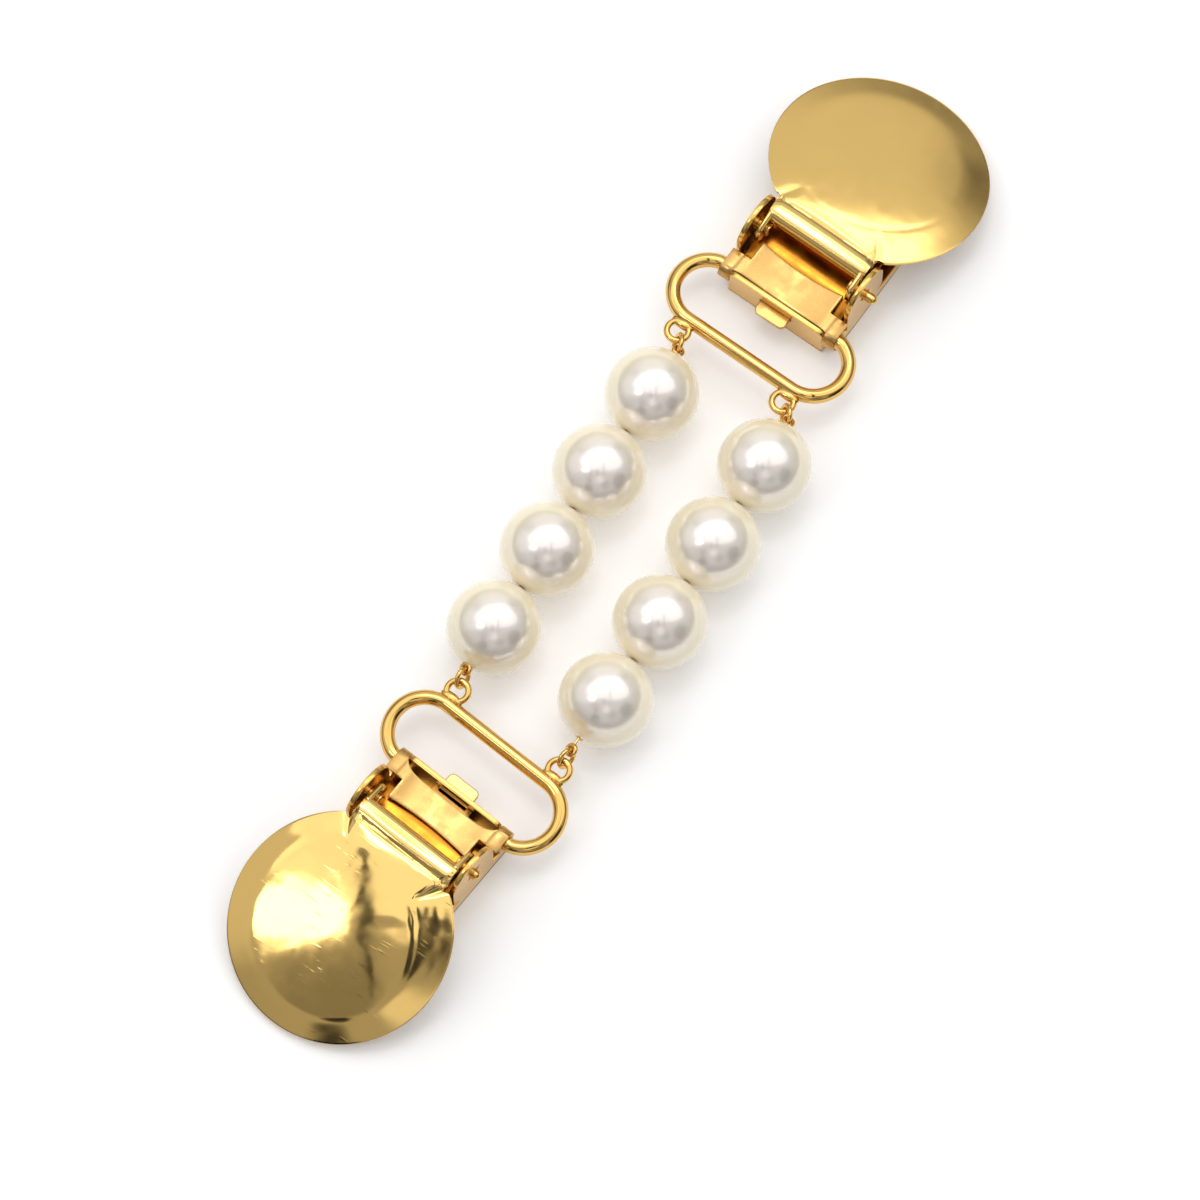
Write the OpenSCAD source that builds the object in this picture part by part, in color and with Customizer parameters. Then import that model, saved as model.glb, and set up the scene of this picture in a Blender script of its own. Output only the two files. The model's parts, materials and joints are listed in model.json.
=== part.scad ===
// Sweater clip: two sprung metal clips joined by two strands of round pearls.
// X runs along the strands, Y across them, Z up from the table it lies on.
// In each clip's own frame x runs from the ring hinge to the free edge of the disc.

/* [Pearls] */
// Diameter of each round pearl
pearl_d = 10; // [8:0.5:13]
// Clear gap between two pearls on a strand
pearl_gap = 0.12; // [0.1:0.02:0.5]
// Diameter of the hole drilled through a pearl
pearl_hole_d = 1.4; // [1:0.1:1.6]
// Diameter of the bevel at each mouth of a pearl's hole
mouth_d = 2.1; // [1.9:0.1:2.4]
// Diameter of the wire thread through the pearls
thread_d = 0.3; // [0.24:0.02:0.34]

/* [Links] */
// Wire diameter of a round link
link_wire = 0.46; // [0.4:0.02:0.5]
// Radius of a link to the middle of its wire
link_r = 1; // [0.96:0.02:1.1]
// Lean of the links out of the level, in degrees
link_lean = 65; // [63:1:70]
// Rise from an eyelet to the pearls' axis
link_rise = 0.5; // [0:0.1:0.5]
// Wire diameter of the eye bent at each end of a thread
eye_wire = 0.34; // [0.3:0.02:0.36]
// Clear gap between two linked wires
link_gap = 0.12; // [0.12:0.01:0.15]
// Slack between a thread's eye and its end pearl, at the +X end
top_slack = 0.5; // [0.2:0.05:1]
// Slack between a thread's eye and its end pearl, at the -X end
bottom_slack = 0.3; // [0.25:0.05:1]

/* [Ring] */
// Wire diameter of a ring
ring_wire = 1.6; // [1.3:0.05:1.8]
// Distance from the ring's hinge axis to the middle of its bar
ring_reach = 7.5; // [7:0.1:10]
// Length of wire along the hinge axis, to the middle of the clip
ring_stub = 7.5; // [7.45:0.05:8.2]
// Angle by which the wire leaves the hinge axis, in degrees
ring_splay = 22; // [14:1:34]
// Radius of the bend beside a knuckle
ring_elbow_r = 1.5; // [1:0.1:2]
// Sideways place of an eyelet on the bar
eyelet_y = 6.75; // [4:0.25:7]
// Radius of an eyelet to the middle of its wire
eyelet_r = 1.14; // [1.1:0.02:1.3]
// Wire diameter of an eyelet
eyelet_wire = 0.58; // [0.5:0.02:0.6]
// Distance from the middle of the bar to the middle of an eyelet
eyelet_out = 1.75; // [1.7:0.05:1.8]

/* [Clip frame] */
// Width over the two ears
frame_w = 14.4; // [14:0.1:14.6]
// Thickness of the frame's sheet
frame_sheet = 0.6; // [0.4:0.05:0.7]
// Distance from the hinge axis to the toothed front edge
frame_front = 20; // [17:0.5:22]
// Height of the low strips along both sides
strip_h = 2; // [1.2:0.1:2.1]
// Distance from the hinge axis to the end of the strips
strip_end = 12; // [10:0.5:15]
// Radius of an ear round its pin
ear_r = 3.2; // [2.6:0.1:3.3]
// Height of the upright tail wall
tail_h = 5; // [4.2:0.1:5.4]
// Width of the tail wall
tail_w = 12.1; // [10:0.1:12.2]
// Distance from the hinge axis to the outer face of the tail wall
tail_back = 1; // [0.9:0.05:1.3]
// Height of one jaw tooth
tooth_h = 1; // [0.5:0.1:1.2]
// Corner radius of the frame's front edge
front_corner_r = 2.5; // [1:0.5:4]

/* [Hinges] */
// Height of the ring's hinge axis
hinge_z = 3.5; // [3.35:0.05:3.7]
// Distance from the ring's hinge axis to the lever's pin
pin_x = 5.15; // [5:0.05:5.4]
// Height of the lever's pin
pin_z = 5.9; // [5.7:0.05:6]
// Diameter of the two short pins of a lever
pin_d = 1.1; // [0.9:0.05:1.2]
// Radial play of a pin or wire in its hole
play = 0.05; // [0.03:0.01:0.08]

/* [Bridge plate] */
// Thickness of the bridge's sheet
bridge_sheet = 0.4; // [0.3:0.05:0.45]
// Distance from the hinge axis to the bridge's front corners
bridge_front = 4.1; // [3.6:0.1:4.2]
// Width of the bridge between the ears
bridge_w = 10.3; // [8:0.1:10.8]
// Width over the two knuckles
knuckle_w = 14.7; // [14.6:0.1:14.8]
// Depth of the trough along the middle of the bridge
bridge_sag = 0.35; // [0.2:0.05:0.6]
// Depth of the hollow in the bridge's front edge
front_hollow = 0.4; // [0.2:0.1:0.9]
// Depth of the hollow in the bridge's tail edge
tail_hollow = 1.3; // [0.8:0.1:1.6]

/* [Jaw plate] */
// Thickness of the jaw's sheet
jaw_sheet = 0.45; // [0.35:0.05:0.5]
// Width of the jaw plate
jaw_w = 12.4; // [10:0.2:12.6]
// Width of the tongue inside the tail wall
tongue_w = 4.9; // [3:0.1:6]
// Width of the tab outside the tail wall
tab_w = 3.8; // [2.6:0.1:4.4]
// Length of the tab outside the tail wall
tab_len = 1.45; // [0.8:0.05:2]
// Height of the tongue's middle
tongue_z = 3.2; // [3:0.05:3.3]

/* [Lever] */
// Diameter of the round face
disc_d = 23.8; // [20:0.2:26]
// Thickness of the lever's sheet
lever_sheet = 0.45; // [0.35:0.05:0.5]
// Slope of the face down to the table, in degrees
disc_tilt = 18.3; // [17:0.1:18.6]
// Height of the disc's middle above the table, in the plane of its rim
disc_z = 4.3; // [4.2:0.05:4.5]
// Width of the bevelled rim
bevel_w = 2.5; // [1.5:0.1:3.5]
// Rise of the bevel from rim to crease
bevel_rise = 0.75; // [0.3:0.05:0.9]
// Rise of the dome above the crease
dome_rise = 0.6; // [0.3:0.05:1.2]
// Width of the neck
neck_w = 12.3; // [11:0.1:12.5]
// Width of the curled lip
lip_w = 11.7; // [10:0.1:12]
// Outer radius of the curled lip
lip_r = 1.1; // [0.9:0.05:1.15]
// Radius of a lever lug round the pin
lug_r = 1.6; // [1.3:0.05:1.7]

/* [Pose on the table] */
// Turn of the clip at the +X end, in degrees
top_yaw = -1.75; // [-4:0.25:4]
// Turn of the clip at the -X end, in degrees
bottom_yaw = -5; // [-6:0.25:4]

/* [Hidden] */
$fn = 64;

GOLD = [0.86, 0.69, 0.36];
DEEP_GOLD = [0.80, 0.55, 0.20];
IVORY = [0.96, 0.94, 0.87];
TOP = 0;
BOTTOM = 1;
LEFT = 0;
RIGHT = 1;
PEARLS = 4;
// Sideways places of the joints between pearls, from the +X end to the -X end
STRAND_Y = [[5.9, 5.7, 5.5, 5.1, 5.0], [-8.1, -8.55, -8.75, -8.9, -8.95]];
// How far the long pin of each clip stands out of its ear, at the +X and the -X clip
PIN_OUT = [1.4, 0.8];
// Sideways place of the line through the middles of both discs
disc_y = 0;

// Strands
pearl_z = pearl_d / 2;
pitch = pearl_d + pearl_gap;
link_wire_r = link_wire / 2;
eyelet_wire_r = eyelet_wire / 2;
eye_wire_r = eye_wire / 2;
eye_r = eye_wire_r + link_gap + link_wire_r;
// A link hangs on the eyelet's far side and climbs to the eye on its own far side
link_in = link_r - link_wire_r - link_gap - eyelet_wire_r;
link_climb = asin(link_rise / (link_in + link_r));
link_out = eyelet_r + link_in * cos(link_climb);
eye_out = eyelet_r + (link_in + link_r) * cos(link_climb);
function tie(end) = eye_out + (end == TOP ? top_slack : bottom_slack);

// Ring
ring_wire_r = ring_wire / 2;
ring_round_r = (ring_reach - ring_elbow_r * (1 - cos(ring_splay))) / (1 + cos(ring_splay));
ring_round_y = ring_stub + (ring_elbow_r - ring_round_r) * sin(ring_splay);
eyelet_reach = ring_reach + eyelet_out;
ring_tilt = asin((pearl_z - link_rise - hinge_z) / eyelet_reach);

// Clip
tilt_cos = cos(disc_tilt);
disc_r = disc_d / 2;
pin_r = pin_d / 2;
bore_r = ring_wire_r + play;
knuckle_r = bore_r + bridge_sheet;
bridge_top = hinge_z + knuckle_r;
tail_gap = 0.1;
ear_in = frame_w / 2 - frame_sheet;
tail_front = tail_back - frame_sheet;
lug_gap = 0.45;
lug_t = 0.6;
neck_top = 0.1;
// The lip's axis lies just clear of the pin, under the rear end of the neck
lip_x = pin_x + 1.55;
disc_x = lip_x + (disc_r - 0.2) * tilt_cos;

function unit(v) = v / norm(v);
function end_angle(end) = end == TOP ? top_yaw : 180 + bottom_yaw;
function end_sign(end) = end == TOP ? 1 : -1;
function turned(p, a) = [p[0] * cos(a) - p[1] * sin(a), p[0] * sin(a) + p[1] * cos(a)];
function side_sign(end, side) = (side == LEFT ? 1 : -1) * end_sign(end);
// Place of an eyelet from the hinge of its own clip, turned as the clip is
function eyelet_from_hinge(end, side) =
    turned([-eyelet_reach * cos(ring_tilt), side_sign(end, side) * eyelet_y], end_angle(end));
function hinge_y(end) = disc_y - disc_x * sin(end_angle(end));
function joint_at(side, i) = [(PEARLS / 2 - i) * pitch, STRAND_Y[side][i]];
function end_joint(end, side) = joint_at(side, end == TOP ? 0 : PEARLS);
// Hinge place at which one strand's thread is just long enough
function hinge_for(end, side) =
    let (e = eyelet_from_hinge(end, side),
         dy = hinge_y(end) + e[1] - end_joint(end, side)[1],
         dx = sqrt(max(tie(end) * tie(end) - dy * dy, 0.25)))
    end_sign(end) * (end_joint(end, side)[0] - e[0]) + dx;
function hinge_x(end) = end_sign(end) * max(hinge_for(end, LEFT), hinge_for(end, RIGHT));
function hinge_at(end) = [hinge_x(end), hinge_y(end)];
function eyelet_at(end, side) = hinge_at(end) + eyelet_from_hinge(end, side);
function tie_way(end, side) = unit(end_joint(end, side) - eyelet_at(end, side));
function angle_of(v) = atan2(v[1], v[0]);
function eye_at(end, side) = eyelet_at(end, side) + eye_out * tie_way(end, side);
function rim_plane_z(x) = disc_z + (disc_x - x) * tan(disc_tilt);

// Middle of the whole outline, moved to the origin
function reach_x(end) = hinge_x(end) + disc_x * cos(end_angle(end)) + end_sign(end) * disc_r * tilt_cos;
function ring_side_y(end, side) =
    hinge_y(end) + turned([(ring_round_r - ring_reach) * cos(ring_tilt), side_sign(end, side) * ring_round_y],
                          end_angle(end))[1];
function pearl_y(side) = [for (i = [0 : PEARLS - 1]) (STRAND_Y[side][i] + STRAND_Y[side][i + 1]) / 2];
ring_over = ring_round_r + ring_wire_r;
mid_x = (reach_x(TOP) + reach_x(BOTTOM)) / 2;
high_y = max(max(pearl_y(LEFT)) + pearl_z, ring_side_y(TOP, LEFT) + ring_over, ring_side_y(BOTTOM, LEFT) + ring_over);
low_y = min(min(pearl_y(RIGHT)) - pearl_z, ring_side_y(TOP, RIGHT) - ring_over,
            ring_side_y(BOTTOM, RIGHT) - ring_over);
mid_y = (high_y + low_y) / 2;

// Placing helpers

module centred() {
    translate([-mid_x, -mid_y, 0])
        children();
}

module at_end(end) {
    centred()
        translate([hinge_at(end)[0], hinge_at(end)[1], 0])
            rotate([0, 0, end_angle(end)])
                children();
}

// Extrudes a side view, drawn as x and height, to a width across the clip
module side_sheet(width) {
    rotate([90, 0, 0])
        linear_extrude(width, center = true)
            children();
}

// Extrudes an end view, drawn as y and height, from x0 along the clip
module end_sheet(x0, length) {
    translate([x0, 0, 0])
        rotate([90, 0, 90])
            linear_extrude(length)
                children();
}

module both_sides() {
    children();
    mirror([0, 1, 0])
        children();
}

module wire_ring(r, wire_r) {
    rotate_extrude()
        translate([r, 0])
            circle(wire_r);
}

module rod(a, b, r) {
    d = b - a;
    translate(a)
        rotate([0, acos(d[2] / norm(d)), atan2(d[1], d[0])])
            cylinder(h = norm(d), r = r);
}

// Ring with its two soldered eyelets

module ring_side() {
    // The two bends stop short of each other, inside a ball hardly wider than the wire
    short = 0.1;
    translate([0, ring_stub, 0])
        rotate([90, 0, 0])
            cylinder(h = ring_stub - tail_w / 2 - 2 * tail_gap, r = ring_wire_r);
    translate([-ring_elbow_r, ring_stub, 0]) {
        rotate_extrude(angle = ring_splay - asin(short / ring_elbow_r))
            translate([ring_elbow_r, 0])
                circle(ring_wire_r);
        translate([ring_elbow_r * cos(ring_splay), ring_elbow_r * sin(ring_splay), 0])
            sphere(ring_wire_r + 0.03);
    }
    translate([ring_round_r - ring_reach, ring_round_y, 0])
        rotate_extrude(angle = 180 - ring_splay - asin(short / ring_round_r),
                       start = ring_splay + asin(short / ring_round_r))
            translate([ring_round_r, 0])
                circle(ring_wire_r);
    translate([-ring_reach, 0, 0])
        rotate([-90, 0, 0])
            cylinder(h = ring_round_y, r = ring_wire_r);
    translate([-eyelet_reach, eyelet_y, 0])
        wire_ring(eyelet_r, eyelet_wire_r);
}

module ring() {
    color(GOLD)
        translate([0, 0, hinge_z])
            rotate([0, ring_tilt, 0]) {
                ring_side();
                rotate([180, 0, 0])
                    ring_side();
            }
}

// Frame: base plate with strips, ears, tail wall and front teeth

tooth_pitch = 1.6;
TEETH = 7;

module tooth_row(count, tip) {
    for (i = [0 : count - 1])
        translate([(i - (count - 1) / 2) * tooth_pitch, 0])
            polygon([[-tooth_pitch * 0.4, 0], [tooth_pitch * 0.4, 0], [0, tip]]);
}

module base_outline() {
    translate([-tail_back, -tail_w / 2])
        square([tail_back + 2, tail_w]);
    translate([0, -frame_w / 2])
        square([frame_front - front_corner_r, frame_w]);
    translate([frame_front - 2 * front_corner_r, front_corner_r - frame_w / 2])
        square([2 * front_corner_r, frame_w - 2 * front_corner_r]);
    for (side = [-1, 1])
        translate([frame_front - front_corner_r, side * (frame_w / 2 - front_corner_r)])
            circle(front_corner_r);
}

// Side view of one ear, with the relief notch ahead of it and the lanced pin hole
module ear_outline() {
    difference() {
        union() {
            translate([pin_x, pin_z])
                circle(ear_r);
            translate([pin_x - ear_r, 0])
                square([2 * ear_r, pin_z]);
            square([pin_x, strip_h]);
            translate([pin_x, 0])
                square([strip_end - pin_x, strip_h]);
        }
        translate([pin_x + ear_r, strip_h])
            polygon([[0.1, 0.9], [-0.8, 0.1], [-0.5, 0], [0.1, 0]]);
        translate([pin_x, pin_z]) {
            circle(pin_r + play);
            rotate(-30)
                polygon([[-1.25, 0], [0, pin_r * 0.7], [1.25, 0], [0, -pin_r * 0.7]]);
        }
    }
}

module tail_outline() {
    corner = 0.8;
    translate([-tail_w / 2, tail_h / 4])
        square([tail_w, tail_h * 3 / 4 - corner]);
    translate([corner - tail_w / 2, 0])
        square([tail_w - 2 * corner, tail_h]);
    for (side = [-1, 1])
        translate([side * (tail_w / 2 - corner), tail_h - corner])
            circle(corner);
}

module frame() {
    slot_gap = 0.15;
    color(GOLD)
        difference() {
            union() {
                linear_extrude(frame_sheet)
                    base_outline();
                both_sides()
                    translate([0, frame_w / 2 - frame_sheet / 2, 0])
                        side_sheet(frame_sheet)
                            ear_outline();
                end_sheet(-tail_back, frame_sheet)
                    tail_outline();
                end_sheet(frame_front - frame_sheet, frame_sheet)
                    translate([0, frame_sheet / 2])
                        tooth_row(TEETH, frame_sheet / 2 + tooth_h);
            }
            // Slot for the tongue through the tail wall
            translate([-tail_back - 1, -tongue_w / 2 - slot_gap, tongue_z - jaw_sheet / 2 - slot_gap])
                cube([frame_sheet + 2, tongue_w + 2 * slot_gap, jaw_sheet + 2 * slot_gap]);
        }
}

// Bridge plate with the two knuckles that hold the ring

// Radius of a circle that bends a chord of the given width by a sag
function bow_r(width, sag) = (width * width / 4 + sag * sag) / (2 * sag);

module bridge_outline() {
    shoulder_x = pin_x - ear_r - 0.2;
    front_bow = bow_r(bridge_w, front_hollow);
    tail_bow = bow_r(tail_w, tail_hollow);
    difference() {
        union() {
            translate([0, -bridge_w / 2])
                square([bridge_front, bridge_w]);
            translate([-tail_front, -knuckle_w / 2])
                square([tail_front + shoulder_x, knuckle_w]);
        }
        translate([bridge_front - front_hollow + front_bow, 0])
            circle(front_bow, $fn = 128);
        translate([tail_hollow - tail_front + 0.2 - tail_bow, 0])
            circle(tail_bow, $fn = 128);
        // The tail edge outside the wall belongs to the knuckles
        for (side = [-1, 1])
            translate([-tail_front - 1, side * (tail_w / 2 + knuckle_w) - knuckle_w])
                square([tail_front + 1, 2 * knuckle_w]);
    }
}

module bridge() {
    trough_w = bridge_w - 0.2;
    trough_r = bow_r(trough_w, bridge_sag);
    knuckle_len = (knuckle_w - tail_w) / 2 - tail_gap;
    color(GOLD) {
        intersection() {
            translate([0, 0, bridge_top - bridge_sag - 1])
                linear_extrude(bridge_sag + 2)
                    bridge_outline();
            union() {
                translate([-1, -knuckle_w / 2, bridge_top - bridge_sheet])
                    cube([bridge_front + 2, (knuckle_w - trough_w) / 2, bridge_sheet]);
                translate([-1, trough_w / 2, bridge_top - bridge_sheet])
                    cube([bridge_front + 2, (knuckle_w - trough_w) / 2, bridge_sheet]);
                intersection() {
                    translate([-1, 0, bridge_top - bridge_sag + trough_r])
                        rotate([0, 90, 0])
                            difference() {
                                cylinder(h = bridge_front + 2, r = trough_r + bridge_sheet, $fn = 256);
                                translate([0, 0, -1])
                                    cylinder(h = bridge_front + 4, r = trough_r, $fn = 256);
                            }
                    translate([-1, -trough_w / 2, bridge_top - bridge_sag - 1])
                        cube([bridge_front + 2, trough_w, bridge_sag + 1.5]);
                }
            }
        }
        both_sides()
            translate([0, knuckle_w / 2, hinge_z])
                rotate([90, 0, 0])
                    difference() {
                        cylinder(h = knuckle_len, r = knuckle_r);
                        translate([0, 0, -1])
                            cylinder(h = knuckle_len + 2, r = bore_r);
                    }
    }
}

// Jaw plate: tab, tongue through the tail wall, pressed sheet and front teeth

module jaw_side() {
    half = jaw_sheet / 2;
    front = frame_front - frame_sheet - 0.2;
    // Height of the sheet's middle at named places along the clip
    high = pin_z - lug_r - 0.25 - half;
    low = frame_sheet + tooth_h + 0.2 + half;
    path = [[-tail_back - tab_len, tongue_z], [tail_hollow, tongue_z], [pin_x - 1, high],
            [pin_x + 1.5, high], [front - half, low]];
    polygon(concat([for (p = path) p - [0, half]],
                   [for (i = [len(path) - 1 : -1 : 0]) path[i] + [0, half]]));
    translate([front - jaw_sheet, frame_sheet + 0.2])
        square([jaw_sheet, low - frame_sheet - 0.2]);
}

module jaw_outline() {
    corner = 0.6;
    x_tab = -tail_back - tab_len;
    front = frame_front - frame_sheet - 0.2;
    translate([x_tab + corner, -tab_w / 2])
        square([tab_len + tail_back, tab_w]);
    translate([x_tab, corner - tab_w / 2])
        square([2 * corner, tab_w - 2 * corner]);
    for (side = [-1, 1])
        translate([x_tab + corner, side * (tab_w / 2 - corner)])
            circle(corner);
    translate([-tail_back - 0.1, -tongue_w / 2])
        square([tail_back + 3, tongue_w]);
    translate([tail_hollow + 0.2, -jaw_w / 2])
        square([front - tail_hollow - 0.2, jaw_w]);
}

module jaw() {
    front = frame_front - frame_sheet - 0.2;
    color(DEEP_GOLD)
        difference() {
            intersection() {
                side_sheet(jaw_w)
                    jaw_side();
                linear_extrude(pin_z)
                    jaw_outline();
            }
            // Notches leave teeth that sit between the frame's teeth
            end_sheet(front - jaw_sheet - 0.5, jaw_sheet + 1)
                tooth_row(TEETH, frame_sheet + tooth_h);
        }
}

// Short pin through one ear and lug: long and round-ended on the right, with a low domed head on the left

module pin(end, side) {
    inner = neck_w / 2 - lug_t - 0.15;
    inner_head = 0.3;
    outer = frame_w / 2 + (side == RIGHT ? PIN_OUT[end] - pin_r : play);
    head_r = pin_r * 1.3;
    color(GOLD)
        translate([pin_x, 0, pin_z])
            mirror([0, side_sign(end, side) > 0 ? 0 : 1, 0]) {
                translate([0, outer, 0])
                    rotate([90, 0, 0])
                        cylinder(h = outer - inner + inner_head / 2, r = pin_r);
                translate([0, inner, 0])
                    rotate([90, 0, 0])
                        cylinder(h = inner_head, r = head_r);
                if (side == RIGHT)
                    translate([0, outer, 0])
                        sphere(pin_r);
                else
                    intersection() {
                        translate([0, outer - head_r * 0.25, 0])
                            sphere(head_r);
                        translate([-head_r, outer, -head_r])
                            cube(2 * head_r);
                    }
            }
}

// Lever: domed round face, neck, curled lip and two lugs on the pins

STEPS = 8;
function dome_line(top) = [for (i = [0 : STEPS])
    let (r = (disc_r - bevel_w) * i / STEPS)
    [r, top + bevel_rise + dome_rise * (1 - pow(i / STEPS, 2))]];

module disc_shell() {
    upper = dome_line(lever_sheet / 2);
    lower = dome_line(-lever_sheet / 2);
    rotate_extrude()
        polygon(concat(upper, [[disc_r - lever_sheet / 3, lever_sheet / 2], [disc_r, 0]],
                       [[disc_r - lever_sheet / 3, -lever_sheet / 2]],
                       [for (i = [STEPS : -1 : 0]) lower[i]]));
}

module lug() {
    neck_drop = lever_sheet / 2;
    translate([0, neck_w / 2 - lug_t / 2 - 0.05, 0])
        side_sheet(lug_t)
            difference() {
                union() {
                    translate([pin_x, pin_z])
                        circle(lug_r);
                    polygon([[pin_x - lug_r * 0.6, pin_z + lug_r * 0.8],
                             [lip_x - lip_r * 0.5, rim_plane_z(lip_x - lip_r * 0.5) - neck_drop],
                             [lip_x + 2.4, rim_plane_z(lip_x + 2.4) - neck_drop],
                             [pin_x + lug_r, pin_z]]);
                }
                translate([pin_x, pin_z])
                    circle(pin_r + play);
            }
}

module lever() {
    lip_u = (lip_x - disc_x) * tilt_cos - (rim_plane_z(lip_x) - disc_z) * sin(disc_tilt);
    lip_n = neck_top - lip_r + 0.04;
    color(GOLD) {
        translate([disc_x, 0, disc_z])
            rotate([0, disc_tilt, 0]) {
                disc_shell();
                translate([lip_u, -neck_w / 2, neck_top - lever_sheet])
                    cube([disc_r + lip_u + 2.5, neck_w, lever_sheet]);
                translate([lip_u + 0.1, 0, lip_n])
                    rotate([90, 0, 0])
                        rotate([0, 0, 90])
                            rotate_extrude(angle = 125)
                                translate([lip_r - lever_sheet, -lip_w / 2])
                                    square([lever_sheet, lip_w]);
            }
        both_sides()
            lug();
    }
}

// Strands: drilled pearls, wire threads with an eye at each end, and round links

module pearl(side, i) {
    a = joint_at(side, i);
    b = joint_at(side, i + 1);
    mid = (a + b) / 2;
    bevel_depth = (mouth_d - pearl_hole_d) / 2;
    color(IVORY)
        translate([mid[0], mid[1], pearl_z])
            rotate([0, 90, angle_of(a - b)])
                difference() {
                    sphere(pearl_z);
                    cylinder(h = pearl_d + 1, r = pearl_hole_d / 2, center = true);
                    for (flip = [0, 180])
                        rotate([flip, 0, 0])
                            translate([0, 0, pearl_z - bevel_depth])
                                cylinder(h = 2 * bevel_depth, r1 = pearl_hole_d / 2,
                                         r2 = pearl_hole_d / 2 + 2 * bevel_depth);
                }
}

// Far side of a thread's eye, where its wire leaves for the pearls
function eye_root(end, side) =
    let (way = tie_way(end, side), out = eye_r * cos(link_climb), p = eye_at(end, side))
    [p[0] + out * way[0], p[1] + out * way[1], pearl_z + eye_r * sin(link_climb)];

module thread_eye(end, side) {
    c = eye_at(end, side);
    translate([c[0], c[1], pearl_z])
        rotate([0, -link_climb, angle_of(tie_way(end, side))])
            rotate([link_lean - 90, 0, 0])
                wire_ring(eye_r, eye_wire_r);
}

module thread(side) {
    color(GOLD) {
        rod(eye_root(TOP, side), eye_root(BOTTOM, side), thread_d / 2);
        thread_eye(TOP, side);
        thread_eye(BOTTOM, side);
    }
}

module link(end, side) {
    c = eyelet_at(end, side) + link_out * tie_way(end, side);
    color(GOLD)
        translate([c[0], c[1], pearl_z - link_r * sin(link_climb)])
            rotate([0, -link_climb, angle_of(tie_way(end, side))])
                rotate([link_lean, 0, 0])
                    wire_ring(link_r, link_wire_r);
}

at_end(TOP) lever();  // top_lever
at_end(TOP) frame();  // top_frame
at_end(TOP) bridge();  // top_bridge
at_end(TOP) jaw();  // top_jaw
at_end(TOP) pin(TOP, LEFT);  // top_left_pin
at_end(TOP) pin(TOP, RIGHT);  // top_right_pin
at_end(TOP) ring();  // top_ring
at_end(BOTTOM) lever();  // bottom_lever
at_end(BOTTOM) frame();  // bottom_frame
at_end(BOTTOM) bridge();  // bottom_bridge
at_end(BOTTOM) jaw();  // bottom_jaw
at_end(BOTTOM) pin(BOTTOM, LEFT);  // bottom_left_pin
at_end(BOTTOM) pin(BOTTOM, RIGHT);  // bottom_right_pin
at_end(BOTTOM) ring();  // bottom_ring
centred() pearl(LEFT, 0);  // left_pearl_1
centred() pearl(LEFT, 1);  // left_pearl_2
centred() pearl(LEFT, 2);  // left_pearl_3
centred() pearl(LEFT, 3);  // left_pearl_4
centred() pearl(RIGHT, 0);  // right_pearl_1
centred() pearl(RIGHT, 1);  // right_pearl_2
centred() pearl(RIGHT, 2);  // right_pearl_3
centred() pearl(RIGHT, 3);  // right_pearl_4
centred() thread(LEFT);  // left_thread
centred() thread(RIGHT);  // right_thread
centred() link(TOP, LEFT);  // top_left_link
centred() link(TOP, RIGHT);  // top_right_link
centred() link(BOTTOM, LEFT);  // bottom_left_link
centred() link(BOTTOM, RIGHT);  // bottom_right_link
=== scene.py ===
"""Sweater clip: two polished clips joined by two short strands of pearls, on a pale table."""

import json
from math import asin, atan2, cos, exp, log, pi, radians, sin, sqrt, tan, tau

import bmesh
import bpy
from bpy.props import FloatProperty, FloatVectorProperty, PointerProperty
from mathutils import Matrix, Vector, noise


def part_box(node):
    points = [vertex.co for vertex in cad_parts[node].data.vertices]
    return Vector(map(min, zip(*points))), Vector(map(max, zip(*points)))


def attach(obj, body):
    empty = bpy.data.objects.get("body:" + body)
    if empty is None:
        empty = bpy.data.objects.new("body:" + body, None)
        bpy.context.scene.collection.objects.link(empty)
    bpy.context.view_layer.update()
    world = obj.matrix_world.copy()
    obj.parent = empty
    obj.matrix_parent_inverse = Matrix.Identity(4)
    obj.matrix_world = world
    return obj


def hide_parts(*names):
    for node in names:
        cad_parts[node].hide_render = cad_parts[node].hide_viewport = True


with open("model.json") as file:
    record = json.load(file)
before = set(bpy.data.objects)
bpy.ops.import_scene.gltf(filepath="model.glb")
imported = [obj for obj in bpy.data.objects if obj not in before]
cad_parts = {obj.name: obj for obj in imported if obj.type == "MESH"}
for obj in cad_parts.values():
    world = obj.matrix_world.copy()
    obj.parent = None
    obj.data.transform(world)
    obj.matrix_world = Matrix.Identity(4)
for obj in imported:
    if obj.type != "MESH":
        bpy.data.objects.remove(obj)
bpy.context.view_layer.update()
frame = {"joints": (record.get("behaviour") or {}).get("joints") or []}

bl_info = {
    "name": "Sweater clip",
    "version": (1, 0, 0),
    "blender": (4, 5, 0),
    "location": "3D View > Sidebar > Sweater clip",
    "description": "Builds two polished clips joined by two strands of pearls",
    "category": "Add Mesh",
}

MM = 0.001
ENDS = ("top", "bottom")
SIDES = ("left", "right")
# Sideways places of a strand's joints between its pearls, from the top end to the bottom end
STRAND_Y = {"left": (5.9, 5.7, 5.5, 5.1, 5.0), "right": (-8.1, -8.55, -8.75, -8.9, -8.95)}
# How far the long pin of each clip stands out of its ear
PIN_OUT = {"top": 1.4, "bottom": 0.8}
# Of each round face: height of its ripples, depth of its notches, steepness of its bevel, the share
# by which its dome is pressed in beside the neck, and the angle from the neck at which that is most
FACE_SHAPE = {
    "top": {"ripple": 0.012, "notch_depth": 0.3, "steepness": 0.88, "pressed": 0.15, "pressed_at": -0.6},
    "bottom": {"ripple": 0.022, "notch_depth": 0.75, "steepness": 1.2, "pressed": 0.17, "pressed_at": 0.75},
}
# How far the bridge's tail edge is cut back from the tail wall
TAIL_CUT = {"top": 0.2, "bottom": 0.95}


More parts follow.
